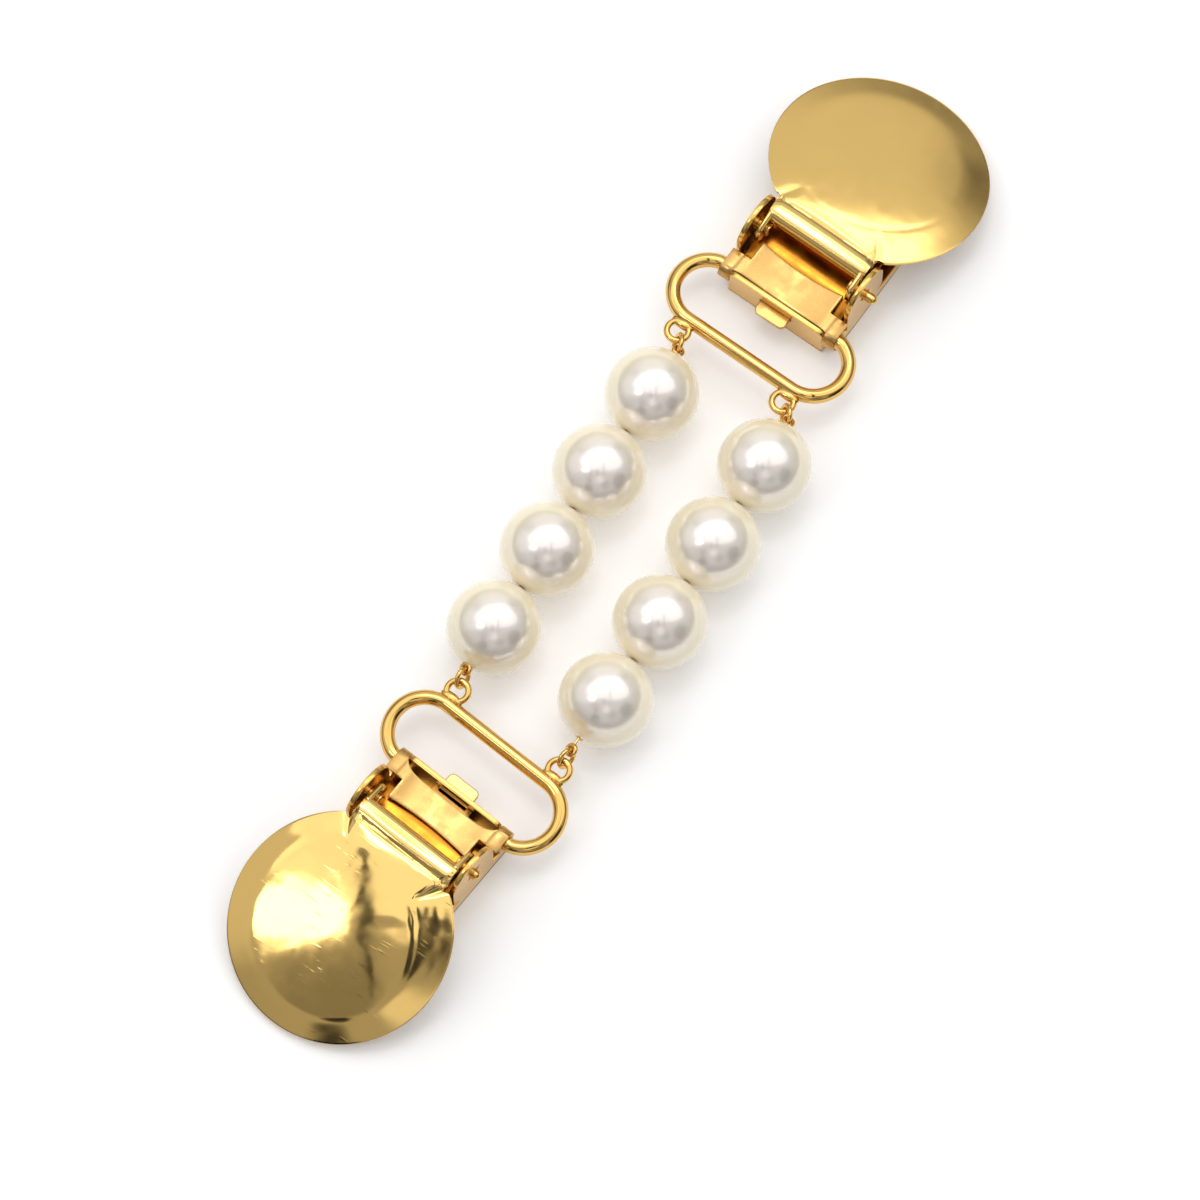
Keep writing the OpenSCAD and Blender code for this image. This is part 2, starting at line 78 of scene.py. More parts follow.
def length(name, default_mm, description):
    """A size in metres, given here in millimetres."""
    return FloatProperty(name=name, description=description, default=default_mm * MM, min=0, max=0.05,
                         unit="LENGTH", precision=5)


def turn(name, default_deg, description):
    return FloatProperty(name=name, description=description, default=radians(default_deg), subtype="ANGLE")


def tone(name, colour, description):
    return FloatVectorProperty(name=name, description=description, default=colour, min=0, max=1,
                               subtype="COLOR")


class ClipSizes(bpy.types.PropertyGroup):
    disc_d: length("Face diameter", 23.8, "Diameter of the round face")
    bevel_w: length("Bevel width", 2.5, "Width of the bevelled rim, seen on the face")
    bevel_rise: length("Bevel rise", 0.7, "Height of the crease above the rim")
    dome_rise: length("Dome rise", 0.5, "Height of the dome above the crease")
    disc_tilt: turn("Face tilt", 18.3, "Slope of the round face towards the front")
    disc_z: length("Face height", 4.3, "Height of the rim's middle")
    sheet: length("Lever sheet", 0.45, "Thickness of the lever's metal")
    neck_w: length("Neck width", 12.3, "Width of the lever's neck")
    lip_w: length("Lip width", 11.7, "Width of the curled lip")
    lip_r: length("Lip radius", 1.1, "Radius of the curl, outside")
    lug_r: length("Lug radius", 1.6, "Radius of the lugs around the pins")
    lug_t: length("Lug thickness", 0.6, "Thickness of each lug")
    pin_x: length("Pins ahead of hinge", 5.15, "Distance from the ring's hinge to the pins")
    pin_z: length("Pin height", 5.9, "Height of the pins")
    pin_d: length("Pin diameter", 1.1, "Diameter of the short pins")
    frame_w: length("Frame width", 14.4, "Width across the ears")
    frame_sheet: length("Frame sheet", 0.6, "Thickness of the frame's metal")
    frame_front: length("Frame front", 20.0, "Distance from the ring's hinge to the frame's front")
    strip_h: length("Strip height", 2.0, "Height of the low side strips")
    strip_end: length("Strip end", 12.0, "Distance from the hinge to the end of the side strips")
    ear_r: length("Ear radius", 3.2, "Radius of the ears")
    tail_h: length("Tail wall height", 5.0, "Height of the tail wall")
    tail_w: length("Tail wall width", 12.1, "Width of the tail wall")
    tail_back: length("Tail wall back", 1.0, "Distance of the tail wall's outside behind the hinge")
    front_corner_r: length("Front corner radius", 2.5, "Radius of the frame's front corners")
    tooth_h: length("Tooth height", 1.0, "Height of the front teeth")
    hinge_z: length("Ring hinge height", 3.5, "Height of the ring's hinge")
    bridge_sheet: length("Bridge sheet", 0.4, "Thickness of the bridge plate")
    bridge_front: length("Bridge front", 4.1, "Distance from the hinge to the bridge's front edge")
    bridge_w: length("Bridge width", 10.3, "Width of the bridge between the ears")
    knuckle_w: length("Knuckle width", 14.7, "Width across both knuckles")
    bridge_sag: length("Bridge sag", 0.35, "Depth of the bridge's trough")
    front_hollow: length("Bridge front hollow", 0.4, "Depth of the hollow in the front edge")
    tail_hollow: length("Bridge tail hollow", 1.3, "Depth of the hollow in the tail edge")
    jaw_sheet: length("Jaw sheet", 0.45, "Thickness of the jaw plate")
    jaw_w: length("Jaw width", 12.4, "Width of the jaw plate")
    tongue_w: length("Tongue width", 4.9, "Width of the jaw's tongue")
    tongue_z: length("Tongue height", 3.2, "Height of the tongue in the tail wall")
    tab_w: length("Tab width", 3.8, "Width of the tab outside the tail wall")
    tab_len: length("Tab length", 1.45, "Length of the tab outside the tail wall")


class StrandSizes(bpy.types.PropertyGroup):
    pearl_d: length("Pearl diameter", 10.0, "Diameter of the pearls")
    pearl_gap: length("Pearl gap", 0.12, "Space between two pearls")
    hole_d: length("Pearl hole", 0.8, "Diameter of the drilled hole")
    mouth_d: length("Hole mouth", 1.2, "Diameter of the bevelled mouth of the hole")
    thread_d: length("Thread diameter", 0.3, "Diameter of the wire through the pearls")
    eye_wire: length("Eye wire", 0.48, "Wire diameter of the thread's eyes")
    link_wire: length("Link wire", 0.52, "Wire diameter of the links")
    link_r: length("Link radius", 1.0, "Radius of a link, to the middle of its wire")
    link_gap: length("Link gap", 0.02, "Space between a link and the wires it holds")
    link_rise: length("Link rise", 0.5, "Climb from the eyelet to the pearls' middle")
    link_lean: turn("Link lean", 65.0, "How far a link stands up from the table")
    ring_wire: length("Ring wire", 1.6, "Wire diameter of the ring")
    ring_reach: length("Ring reach", 7.5, "Distance from the hinge to the ring's bar")
    ring_stub: length("Ring stub", 7.5, "Half the straight width at the hinge")
    ring_splay: turn("Ring splay", 22.0, "Outward lean of the ring's sides")
    ring_elbow_r: length("Ring elbow", 1.5, "Bend radius beside the knuckles")
    eyelet_y: length("Eyelet place", 6.75, "Distance of the eyelets from the clip's middle line")
    eyelet_r: length("Eyelet radius", 1.14, "Radius of an eyelet, to the middle of its wire")
    eyelet_wire: length("Eyelet wire", 0.72, "Wire diameter of an eyelet")
    eyelet_out: length("Eyelet reach", 1.75, "Distance of an eyelet's middle from the bar")


class Finish(bpy.types.PropertyGroup):
    gold: tone("Gold", (0.83, 0.56, 0.185), "Polished plating of the faces")
    wire_gold: tone("Wire gold", (0.80, 0.50, 0.15), "Plating of the rings and links")
    frame_gold: tone("Frame gold", (0.78, 0.48, 0.13), "Plating of the frames")
    bridge_gold: tone("Bridge gold", (0.57, 0.345, 0.115), "Duller plating of the bridges and tabs")
    # Painted shade and reflection: the jaws' gold plating is made darker and redder to stand in for the
    # shade and gold-on-gold glow of the hollow they sit in
    jaw_gold: tone("Jaw gold", (0.52, 0.20, 0.022), "Deeper plating of the jaws")
    pearl: tone("Pearl", (0.91, 0.81, 0.58), "Body colour of the pearls")
    overtone: tone("Overtone", (0.95, 0.885, 0.88), "Faint lilac in the gloss of the pearls")
    table: tone("Table", (0.93, 0.93, 0.935), "Colour of the table")
    key_light: FloatProperty(name="Key light", description="Power of the soft light for each square metre",
                             default=2.0, min=0, unit="POWER")


# Sizes in millimetres

class Millimetres:
    """Reads a group's lengths in millimetres and its angles in radians."""

    def __init__(self, group):
        self.group = group

    def __getattr__(self, name):
        value = getattr(self.group, name)
        unit = self.group.bl_rna.properties[name].unit
        return value / MM if unit == "LENGTH" else value


def clip_sizes():
    return Millimetres(bpy.context.scene.clip_sizes)


def strand_sizes():
    return Millimetres(bpy.context.scene.strand_sizes)


def clip_place(end):
    """Matrix to the shared frame from a clip's own, which is in millimetres, x ahead of the ring's hinge."""
    joint = next(j for j in frame["joints"] if j["name"] == f"{end}_clip_swing")
    axis = Vector(joint["axis"])
    place = Matrix.Identity(4)
    for row in range(3):
        place[row][0] = (-axis.y, axis.x, 0)[row]
        place[row][1] = -axis[row]
        place[row][2] = (0, 0, 1)[row]
    place.translation = (joint["pos_m"][0], joint["pos_m"][1], 0)
    return place @ Matrix.Scale(MM, 4)


def side_sign(end, side):
    """Sign of a side's y in the clip's own frame. The two clips face away from each other."""
    return 1 if (side == "left") == (end == "top") else -1


# Shader maths

class Value:
    """A socket that can be written in an expression: each operation adds its Math node."""

    def __init__(self, paint, socket):
        self.paint, self.socket = paint, socket

    def maths(self, operation, a, b):
        return self.paint.node("ShaderNodeMath", {"operation": operation}, {0: a, 1: b})

    def __add__(self, other):
        return self.maths("ADD", self, other)

    def __radd__(self, other):
        return self.maths("ADD", other, self)

    def __sub__(self, other):
        return self.maths("SUBTRACT", self, other)

    def __rsub__(self, other):
        return self.maths("SUBTRACT", other, self)

    def __mul__(self, other):
        return self.maths("MULTIPLY", self, other)

    def __rmul__(self, other):
        return self.maths("MULTIPLY", other, self)


class Paint:
    """Adds nodes to one node tree."""

    def __init__(self, tree):
        self.tree = tree
        tree.nodes.clear()

    def node(self, kind, settings=None, sockets=None, out=0):
        """One node: its settings first, then its sockets' values or links. Returns one output."""
        made = self.tree.nodes.new(kind)
        for key, value in (settings or {}).items():
            if key == "stops":
                self.set_stops(made.color_ramp, value)
            else:
                setattr(made, key, value)
        for key, value in (sockets or {}).items():
            if isinstance(value, Value):
                self.tree.links.new(value.socket, made.inputs[key])
            else:
                made.inputs[key].default_value = value
        return Value(self, made.outputs[out]) if len(made.outputs) else None

    @staticmethod
    def set_stops(ramp, stops):
        while len(ramp.elements) < len(stops):
            ramp.elements.new(0.5)
        for element, (place, level) in zip(ramp.elements, stops):
            element.position = place
            element.color = (level, level, level, 1)

    def coords(self, scale=(1, 1, 1), turned=(0, 0, 0)):
        """Place on the object, in metres times the scale."""
        at = self.node("ShaderNodeTexCoord", out=3)
        return self.node("ShaderNodeMapping", None, {"Vector": at, "Rotation": turned, "Scale": scale})

    def noise(self, at, scale, detail=2.0, roughness=0.5):
        return self.node("ShaderNodeTexNoise", None,
                         {"Vector": at, "Scale": scale, "Detail": detail, "Roughness": roughness})

    def ramp(self, factor, stops):
        return self.node("ShaderNodeValToRGB", {"stops": stops}, {0: factor})

    def mix(self, factor, a, b):
        return self.node("ShaderNodeMix", {"data_type": "RGBA"}, {0: factor, 6: a, 7: b}, out=2)

    def bump(self, height, strength, distance, normal=None):
        sockets = {"Height": height, "Strength": strength, "Distance": distance}
        if normal is not None:
            sockets["Normal"] = normal
        return self.node("ShaderNodeBump", None, sockets)


def material(name):
    made = bpy.data.materials.get(name) or bpy.data.materials.new(name)
    made.use_nodes = True
    return made, Paint(made.node_tree)


def surface(paint, sockets):
    shader = paint.node("ShaderNodeBsdfPrincipled", None, sockets)
    paint.node("ShaderNodeOutputMaterial", None, {"Surface": shader})


def rgba(colour, scale=1.0):
    return tuple(c * scale for c in colour) + (1.0,)


# Depths of the bumps, in metres
WAVE_DEPTH, SCRATCH_DEPTH, GRAIN_DEPTH, PEARL_GRAIN_DEPTH = 0.00012, 0.000012, 0.000008, 0.00001


def gold(name, colour, rough, satin, wave, scratches):
    """Plated metal: rough is its least roughness, satin its dull mottled patches, wave its slow ripples."""
    _, paint = material(name)
    at = paint.coords()
    broad = paint.noise(at, 160.0, 2.0)
    fine = paint.noise(at, 900.0, 4.0, 0.6)
    tint = paint.mix(broad, rgba(colour, 0.95), rgba(colour, 1.0))
    patches = paint.ramp(paint.noise(at, 420.0, 3.0, 0.55), ((0.42, 0.0), (0.62, 1.0)))
    roughness = rough + patches * satin + fine * (0.05 + satin * 0.2)
    across = paint.coords((2600, 260, 700), (0.2, 0.1, 0.9))
    lines = paint.ramp(paint.noise(across, 1.0, 2.0, 0.6), ((0.60, 0.0), (0.72, 1.0)))
    worn = paint.ramp(paint.noise(at, 210.0, 2.0), ((0.45, 0.0), (0.65, 1.0)))
    normal = paint.bump(paint.noise(at, 230.0, 1.0), wave, WAVE_DEPTH)
    normal = paint.bump(lines * worn, scratches, SCRATCH_DEPTH, normal)
    normal = paint.bump(fine, 0.10 + satin * 0.4, GRAIN_DEPTH, normal)
    surface(paint, {"Base Color": tint, "Metallic": 1.0, "Roughness": roughness, "Normal": normal})


# Clear coat of the pearls
COAT = {"Coat Weight": 1.0, "Coat Roughness": 0.04, "Coat IOR": 1.7}


def pearl_material(name, colour, overtone):
    """Cream glass pearl with the gloss of nacre, under a clear coat, and a faint painted glow of its body
    colour.
    """
    _, paint = material(name)
    at = paint.coords()
    cloud = paint.noise(at, 170.0, 2.0)
    grain = paint.noise(at, 1500.0, 3.0)
    body = paint.mix(cloud, rgba(colour, 0.97), rgba(colour, 1.0))
    normal = paint.bump(grain, 0.04, PEARL_GRAIN_DEPTH)
    cream_glowing = paint.node("ShaderNodeBsdfPrincipled", None, {
        "Base Color": body,
        "Roughness": 0.17 + grain * 0.05,
        "Specular IOR Level": 0.6,
        "Specular Tint": (0.97, 0.95, 1.0, 1.0),
        **COAT,
        "Sheen Weight": 0.3,
        "Sheen Roughness": 0.5,
        "Sheen Tint": (1.0, 0.93, 0.80, 1.0),
        # Painted light: the pearl glows faintly in its body colour, brightening it beyond what the lamps
        # give
        "Emission Color": body,
        "Emission Strength": 0.07,
        "Normal": normal,
    })
    nacre = paint.node("ShaderNodeBsdfPrincipled", None, {
        "Base Color": rgba(overtone),
        "Roughness": 0.22 + grain * 0.05,
        "Metallic": 0.6,
        **COAT,
        "Normal": normal,
    })
    # The gloss of nacre is strongest where it is seen straight on
    facing_away = paint.node("ShaderNodeLayerWeight", None, {"Blend": 0.5}, out=1)
    gleam = paint.ramp(1 - facing_away, ((0.57, 0.0), (0.86, 0.75)))
    shader = paint.node("ShaderNodeMixShader", None, {0: gleam, 1: cream_glowing, 2: nacre})
    paint.node("ShaderNodeOutputMaterial", None, {"Surface": shader})


# Name, tone, roughness, satin, wave and scratches
GOLDS = (
    ("Face_gold_top", "gold", 0.13, 0.03, 0.10, 0.05),
    ("Face_gold_bottom", "gold", 0.05, 0.03, 0.12, 0.5),
    ("Wire_gold", "wire_gold", 0.05, 0.0, 0.05, 0.0),
    ("Bridge_gold", "bridge_gold", 0.18, 0.16, 0.8, 0.4),
    ("Frame_gold", "frame_gold", 0.14, 0.06, 0.10, 0.1),
    # The jaws' darker, redder gold is painted shade and reflected glow
    ("Jaw_gold", "jaw_gold", 0.16, 0.08, 0.30, 0.0),
)


def finishes():
    """The materials, made once."""
    look = bpy.context.scene.clip_finish
    if "Pearl_nacre" not in bpy.data.materials:
        for name, tone_name, *wear in GOLDS:
            gold(name, getattr(look, tone_name), *wear)
        pearl_material("Pearl_nacre", look.pearl, look.overtone)
    return bpy.data.materials


# Mesh making, in millimetres

# Roundness of the edges of bent sheets, flat plates, ears, lugs and teeth
SHEET_EDGE, PLATE_EDGE, EAR_EDGE, LUG_EDGE, TOOTH_EDGE = 0.07, 0.12, 0.09, 0.1, 0.05


def mesh_from(verts, faces):
    mesh = bpy.data.meshes.new("made")
    mesh.from_pydata([tuple(v) for v in verts], [], faces)
    mesh.validate()
    return mesh


def baked(data, modifiers=()):
    """The mesh of a curve or mesh after its modifiers, each a type with its settings."""
    holder = bpy.data.objects.new("holder", data)
    bpy.context.scene.collection.objects.link(holder)
    for kind, settings in modifiers:
        modifier = holder.modifiers.new(kind.title(), kind)
        for key, value in settings.items():
            setattr(modifier, key, value)
    bpy.context.view_layer.update()
    made = bpy.data.meshes.new_from_object(holder.evaluated_get(bpy.context.evaluated_depsgraph_get()))
    bpy.data.objects.remove(holder)
    return made


def sheet(mesh, thickness):
    """Gives a middle surface its thickness, with rounded edges."""
    return baked(mesh, (
        ("SOLIDIFY", {"thickness": thickness, "offset": 0.0, "use_even_offset": True}),
        ("BEVEL", {"width": SHEET_EDGE, "segments": 2, "limit_method": "ANGLE", "angle_limit": radians(50)}),
    ))


def welded(mesh, distance):
    """The mesh opened for editing, its doubled points joined and its faces turned outward."""
    bm = bmesh.new()
    bm.from_mesh(mesh)
    bmesh.ops.remove_doubles(bm, verts=bm.verts, dist=distance)
    bmesh.ops.recalc_face_normals(bm, faces=bm.faces)
    return bm


def plate(loops, thickness, edge, place):
    """A flat plate from closed outlines, the first outside and the rest holes, with rounded edges."""
    curve = bpy.data.curves.new("outline", "CURVE")
    curve.dimensions, curve.fill_mode = "2D", "BOTH"
    curve.extrude, curve.bevel_depth, curve.bevel_resolution = thickness / 2 - edge, edge, 1
    curve.offset = -edge
    for loop in loops:
        spline = curve.splines.new("POLY")
        spline.points.add(len(loop) - 1)
        for point, (x, y) in zip(spline.points, loop):
            point.co = (x, y, 0, 1)
        spline.use_cyclic_u = True
    mesh = baked(curve)
    bm = welded(mesh, 1e-4)
    for e in bm.edges:
        flat = [abs(f.normal.z) > 0.999 for f in e.link_faces]
        e.smooth = not (any(flat) and not all(flat))
    bm.to_mesh(mesh)
    bm.free()
    mesh.transform(place)
    return mesh


def from_side(y):
    """Puts an outline drawn as x and height upright along the clip, at y across it."""
    return Matrix(((1, 0, 0, 0), (0, 0, -1, y), (0, 1, 0, 0), (0, 0, 0, 1)))


def from_end(x):
    """Puts an outline drawn as y and height upright across the clip, at x along it."""
    return Matrix(((0, 0, 1, x), (1, 0, 0, 0), (0, 1, 0, 0), (0, 0, 0, 1)))


def arc(cx, cy, r, start, end, steps):
    """Points on a circle from one angle to another, in degrees."""
    return [(cx + r * cos(radians(start + (end - start) * i / steps)),
             cy + r * sin(radians(start + (end - start) * i / steps))) for i in range(steps + 1)]


def quads(a, b):
    """Faces between two rows of points."""
    return [(a[i], b[i], b[i + 1], a[i + 1]) for i in range(len(a) - 1)]


def tube(path, radius, sides, closed=False):
    """Sweeps a circle along the path, with flat ends where it is open."""
    count = len(path)
    path = [Vector(p) for p in path]
    verts, faces = [], []
    normal = None
    for i, p in enumerate(path):
        before = path[i - 1] if i or closed else path[i]
        after = path[(i + 1) % count] if i < count - 1 or closed else path[i]
        along = (after - before).normalized()
        if normal is None:
            upright = abs(along.z) >= 0.9
            normal = along.cross(Vector((1, 0, 0)) if upright else Vector((0, 0, 1))).normalized()
        normal = (normal - along * normal.dot(along)).normalized()
        other = along.cross(normal)
        verts += [p + (normal * cos(tau * k / sides) + other * sin(tau * k / sides)) * radius
                  for k in range(sides)]
    for i in range(count if closed else count - 1):
        a, b = i * sides, (i + 1) % count * sides
        faces += [(a + k, a + (k + 1) % sides, b + (k + 1) % sides, b + k) for k in range(sides)]
    if not closed:
        faces += [tuple(reversed(range(sides))), tuple(range((count - 1) * sides, count * sides))]
    return mesh_from(verts, faces)


def wire_ring(radius, wire_r, place):
    steps, sides = 64, 20
    mesh = tube([(radius * cos(tau * i / steps), radius * sin(tau * i / steps), 0) for i in range(steps)],
                wire_r, sides, closed=True)
    mesh.transform(place)
    return mesh


def lathe(profile, sides):
    """Turns a profile of (radius, height) points round the z axis. A zero radius closes an end."""
    verts, faces, rows = [], [], []
    for r, z in profile:
        if r < 1e-6:
            rows.append([len(verts)] * sides)
            verts.append((0, 0, z))
        else:
            rows.append(list(range(len(verts), len(verts) + sides)))
            verts += [(r * cos(tau * k / sides), r * sin(tau * k / sides), z) for k in range(sides)]
    for low, high in zip(rows, rows[1:]):
        for k in range(sides):
            quad = (low[k], low[(k + 1) % sides], high[(k + 1) % sides], high[k])
            face = tuple(dict.fromkeys(quad))
            if len(face) > 2:
                faces.append(face)
    return mesh_from(verts, faces)


def blob(centre, radii):
    """A rounded drop of metal."""
    steps = 16
    profile = [(sin(pi * i / steps), -cos(pi * i / steps)) for i in range(steps + 1)]
    profile[0], profile[-1] = (0, -1), (0, 1)
    mesh = lathe(profile, 2 * steps)
    mesh.transform(Matrix.Translation(centre) @ Matrix.Diagonal((*radii, 1)))
    return mesh


def mirrored(mesh):
    """A copy on the clip's other side."""
    other = mesh.copy()
    other.transform(Matrix.Diagonal((1, -1, 1, 1)))
    other.flip_normals()
    return other


def piece(name, parts, place, finish, body, nodes, sharp=32):
    """Joins the parts, puts them in the shared frame and lets them ride in place of the CAD nodes."""
    bm = bmesh.new()
    for part in parts:
        bm.from_mesh(part)
        bpy.data.meshes.remove(part)
    for e in bm.edges:
        if len(e.link_faces) == 2 and e.calc_face_angle(0.0) > radians(sharp):
            e.smooth = False
    for f in bm.faces:
        f.smooth = True
    mesh = bpy.data.meshes.new(name)
    bm.to_mesh(mesh)
    bm.free()
    mesh.transform(place)
    mesh.materials.append(finishes()[finish])
    made = bpy.data.objects.new(name, mesh)
    bpy.context.scene.collection.objects.link(made)
    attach(made, body)
    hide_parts(*nodes)


# Lever

# The neck's straight end: its reach from the face's middle, and its height over the rim's plane
NECK_REACH, NECK_LEVEL = 11.55, -0.12
# The lip's root: its distance ahead of the pins, and how far it lies inside the rim
LIP_AHEAD, LIP_INSIDE = 1.55, 0.2
# Degrees by which the lip leans at its root and curls from there, and its faces along the curl
LIP_LEAN, LIP_CURL, LIP_STEPS = 17, 110, 14
# The lip's columns lie within its width and this much more at each side
LIP_SLACK = 0.35
LUG_FRONT, LUG_DEPTH, LUG_INSET = 2.4, 0.2, 0.05
PIN_PLAY = 0.03

# Columns round the face, its inner rings with their share of the crease's radius, and its outer rings
COLUMNS, INNER_RINGS, INNER_SHARE, OUTER_RINGS = 168, 12, 0.75, 26
# Further columns beside each end of the neck, and the least turn between two columns, in radians
NECK_COLUMNS = (-0.03, -0.015, 0, 0.01, 0.02, 0.03, 0.04, 0.05, 0.06, 0.08)
LEAST_TURN = 0.004
# Turn from the neck to the deepest point of a notch, and along the rim to where the neck's level is lost
NOTCH_TURN, LEVEL_TURN = 0.035, 0.05
# Softness of the crease between dome and bevel
CREASE_SOFTNESS = 0.045
# The fold where the pressed part ends, and the turn over which the press fades
PRESS_FOLD, PRESS_FOLD_W, PRESS_TURN = 0.02, 0.3, 1.0
# Ripples: how close together they lie, their slice of the noise and their height
RIPPLES = ((0.35, 3.1, 0.6), (0.8, 7.7, 0.25))
# The ripples grow this much where the neck leaves the face, at this turn from its side and over this width
BUCKLE, BUCKLE_TURN, BUCKLE_W = 3.5, 0.12, 0.35
# Folds between the neck and the roll of the lip: rise, place before the neck's end, and width
NECK_FOLDS = ((0.08, 0.5, 0.35), (-0.2, 1.4, 0.3))


def soft_min(a, b, softness):
    return -softness * log(exp(-a / softness) + exp(-b / softness))


def hill(x, middle, width):
    """A soft hill of height 1."""
    return exp(-((x - middle) / width) ** 2)


def lever_face(s, ripple, notch_depth, steepness, pressed, pressed_at):
    """Sheet of the round face, its neck and the curled lip."""
    disc_r = s.disc_d / 2
    crease = disc_r - s.bevel_w
    bevel_rise = s.bevel_rise * steepness
    half = s.neck_w / 2
    corner = atan2(half, NECK_REACH)
    side = asin(half / disc_r)

    def reach(angle):
        """Distance of the outline from the middle, by the angle from the neck's middle line."""
        a = abs(angle)
        if a <= corner:
            return NECK_REACH / cos(a)
        if a <= side:
            return half / sin(a)
        return disc_r - notch_depth * hill(a, side + NOTCH_TURN, NOTCH_TURN)

    def height(angle, r, end):
        """Height over the rim's plane at a distance from the middle; the outline is at end."""
        a = abs(angle)
        low = NECK_LEVEL * (1 if a <= side else hill(a, side, LEVEL_TURN))
        near_press = hill(angle, pressed_at, PRESS_TURN)
        edge_r = crease * (1 - pressed * near_press)
        dome = bevel_rise + s.dome_rise * (1 - (r / edge_r) ** 2)
        bevel = low + (bevel_rise - low) * (end - r) / (end - edge_r)
        n = soft_min(dome, bevel, CREASE_SOFTNESS) if r > crease / 2 else dome
        n -= PRESS_FOLD * near_press * hill(r, edge_r, PRESS_FOLD_W)
        x, y = -r * cos(angle), r * sin(angle)
        swell = sum(noise.noise(Vector((x * close, y * close, level))) * rise
                    for close, level, rise in RIPPLES)
        buckle = 1 + BUCKLE * hill(a, side + BUCKLE_TURN, BUCKLE_W) * min(1, r / crease)
        # The ripples fade towards the outline
        n += ripple * buckle * swell * min(1, (end - r) / 2 + 0.2)
        if a <= side:
            n += sum(rise * hill(NECK_REACH + x, before, width) for rise, before, width in NECK_FOLDS)
        return n

    columns = sorted({-pi + tau * i / COLUMNS for i in range(COLUMNS)} | {-corner, corner}
                     | {sign * (side + more) for sign in (-1, 1) for more in NECK_COLUMNS})
    columns = [a for i, a in enumerate(columns) if i == 0 or a - columns[i - 1] > LEAST_TURN]
    rings = [crease * (INNER_SHARE * i / INNER_RINGS) for i in range(1, INNER_RINGS + 1)]
    start = rings[-1]
    verts, faces, rows = [Vector((0, 0, bevel_rise + s.dome_rise))], [], []
    for a in columns:
        end = reach(a)
        radii = rings + [start + (end - start) * (k + 1) / OUTER_RINGS for k in range(OUTER_RINGS)]
        rows.append(range(len(verts), len(verts) + len(radii)))
        verts += [Vector((-r * cos(a), r * sin(a), height(a, r, end))) for r in radii]
    for row, after in zip(rows, rows[1:] + rows[:1]):
        faces += [(0, after[0], row[0])] + quads(row, after)
    roots = [row[-1] for a, row in zip(columns, rows)
             if abs(a) <= corner + LEAST_TURN / 4 and abs(verts[row[-1]].y) <= s.lip_w / 2 + LIP_SLACK]
    curl_lip(s, verts, faces, roots)
    mesh = mesh_from(verts, faces)
    mesh.transform(Matrix.Translation((lever_middle(s), 0, s.disc_z)) @ Matrix.Rotation(s.disc_tilt, 4, "Y"))
    return sheet(mesh, s.sheet)


def curl_lip(s, verts, faces, roots):
    """Adds the lip, curled down from the points at the neck's straight end."""
    bend = s.lip_r - s.sheet / 2
    lean = radians(LIP_LEAN)
    previous = None
    for root in roots:
        edge = verts[root]
        row = [root]
        for i in range(1, LIP_STEPS + 1):
            f = lean + radians(LIP_CURL) * i / LIP_STEPS
            row.append(len(verts))
            verts.append(Vector((edge.x - bend * (sin(f) - sin(lean)), edge.y,
                                 edge.z - bend * (cos(lean) - cos(f)))))
        if previous:
            faces += quads(previous, row)
        previous = row


def lever_middle(s):
    """Distance of the face's middle ahead of the ring's hinge."""
    return s.pin_x + LIP_AHEAD + (s.disc_d / 2 - LIP_INSIDE) * cos(s.disc_tilt)


def rim_plane(s, x):
    """Height of the rim's plane at x ahead of the ring's hinge."""
    return s.disc_z + (lever_middle(s) - x) * sin(s.disc_tilt) / cos(s.disc_tilt)


def lever_lug(s):
    """Lug under one side of the neck, round the pin."""
    root = s.pin_x + LIP_AHEAD
    back, front = root - s.lip_r * 0.5, root + LUG_FRONT
    outline = [(back, rim_plane(s, back) - LUG_DEPTH), (s.pin_x - s.lug_r * 0.6, s.pin_z + s.lug_r * 0.8)]
    outline += arc(s.pin_x, s.pin_z, s.lug_r, 127, 355, 24)
    outline.append((front, rim_plane(s, front) - LUG_DEPTH))
    hole = arc(s.pin_x, s.pin_z, s.pin_d / 2 + PIN_PLAY, 0, 345, 23)
    return plate([outline, hole], s.lug_t, LUG_EDGE, from_side(s.neck_w / 2 - s.lug_t / 2 - LUG_INSET))


class CLIP_OT_levers(bpy.types.Operator):
    """Round domed faces with their necks, curled lips and lugs"""

    bl_idname = "sweater_clip.levers"
    bl_label = "Levers"

    def execute(self, context):
        s = clip_sizes()
        for end in ENDS:
            lug = lever_lug(s)
            parts = [lever_face(s, **FACE_SHAPE[end]), mirrored(lug), lug]
            piece(f"{end}_face", parts, clip_place(end), f"Face_gold_{end}", f"{end}_lever_arm",
                  [f"{end}_lever"])
        return {"FINISHED"}


# Frame, bridge, jaw and pin

TOOTH_PITCH, TEETH = 1.6, 7
# Half the width of a tooth's foot
TOOTH_FOOT = TOOTH_PITCH * 0.42
# Reach of the star-shaped hole round each pin, point by point
STAR = (1.25, 0.62, 0.95, 0.62)
WALL_CORNER_R, TAB_CORNER_R = 0.8, 0.6
# Room round the tab in its slot, beside it and over it
SLOT_BESIDE, SLOT_OVER = 0.1, 0.15
# Room between the ring and the knuckle rolled round it
RING_PLAY = 0.05
# How far the roll goes round the ring, and the turn of each of its faces, in degrees
KNUCKLE_ROLL, KNUCKLE_STEP = 315, 9
# Room between the jaw and the frame, at its front and over the teeth
JAW_ROOM = 0.2


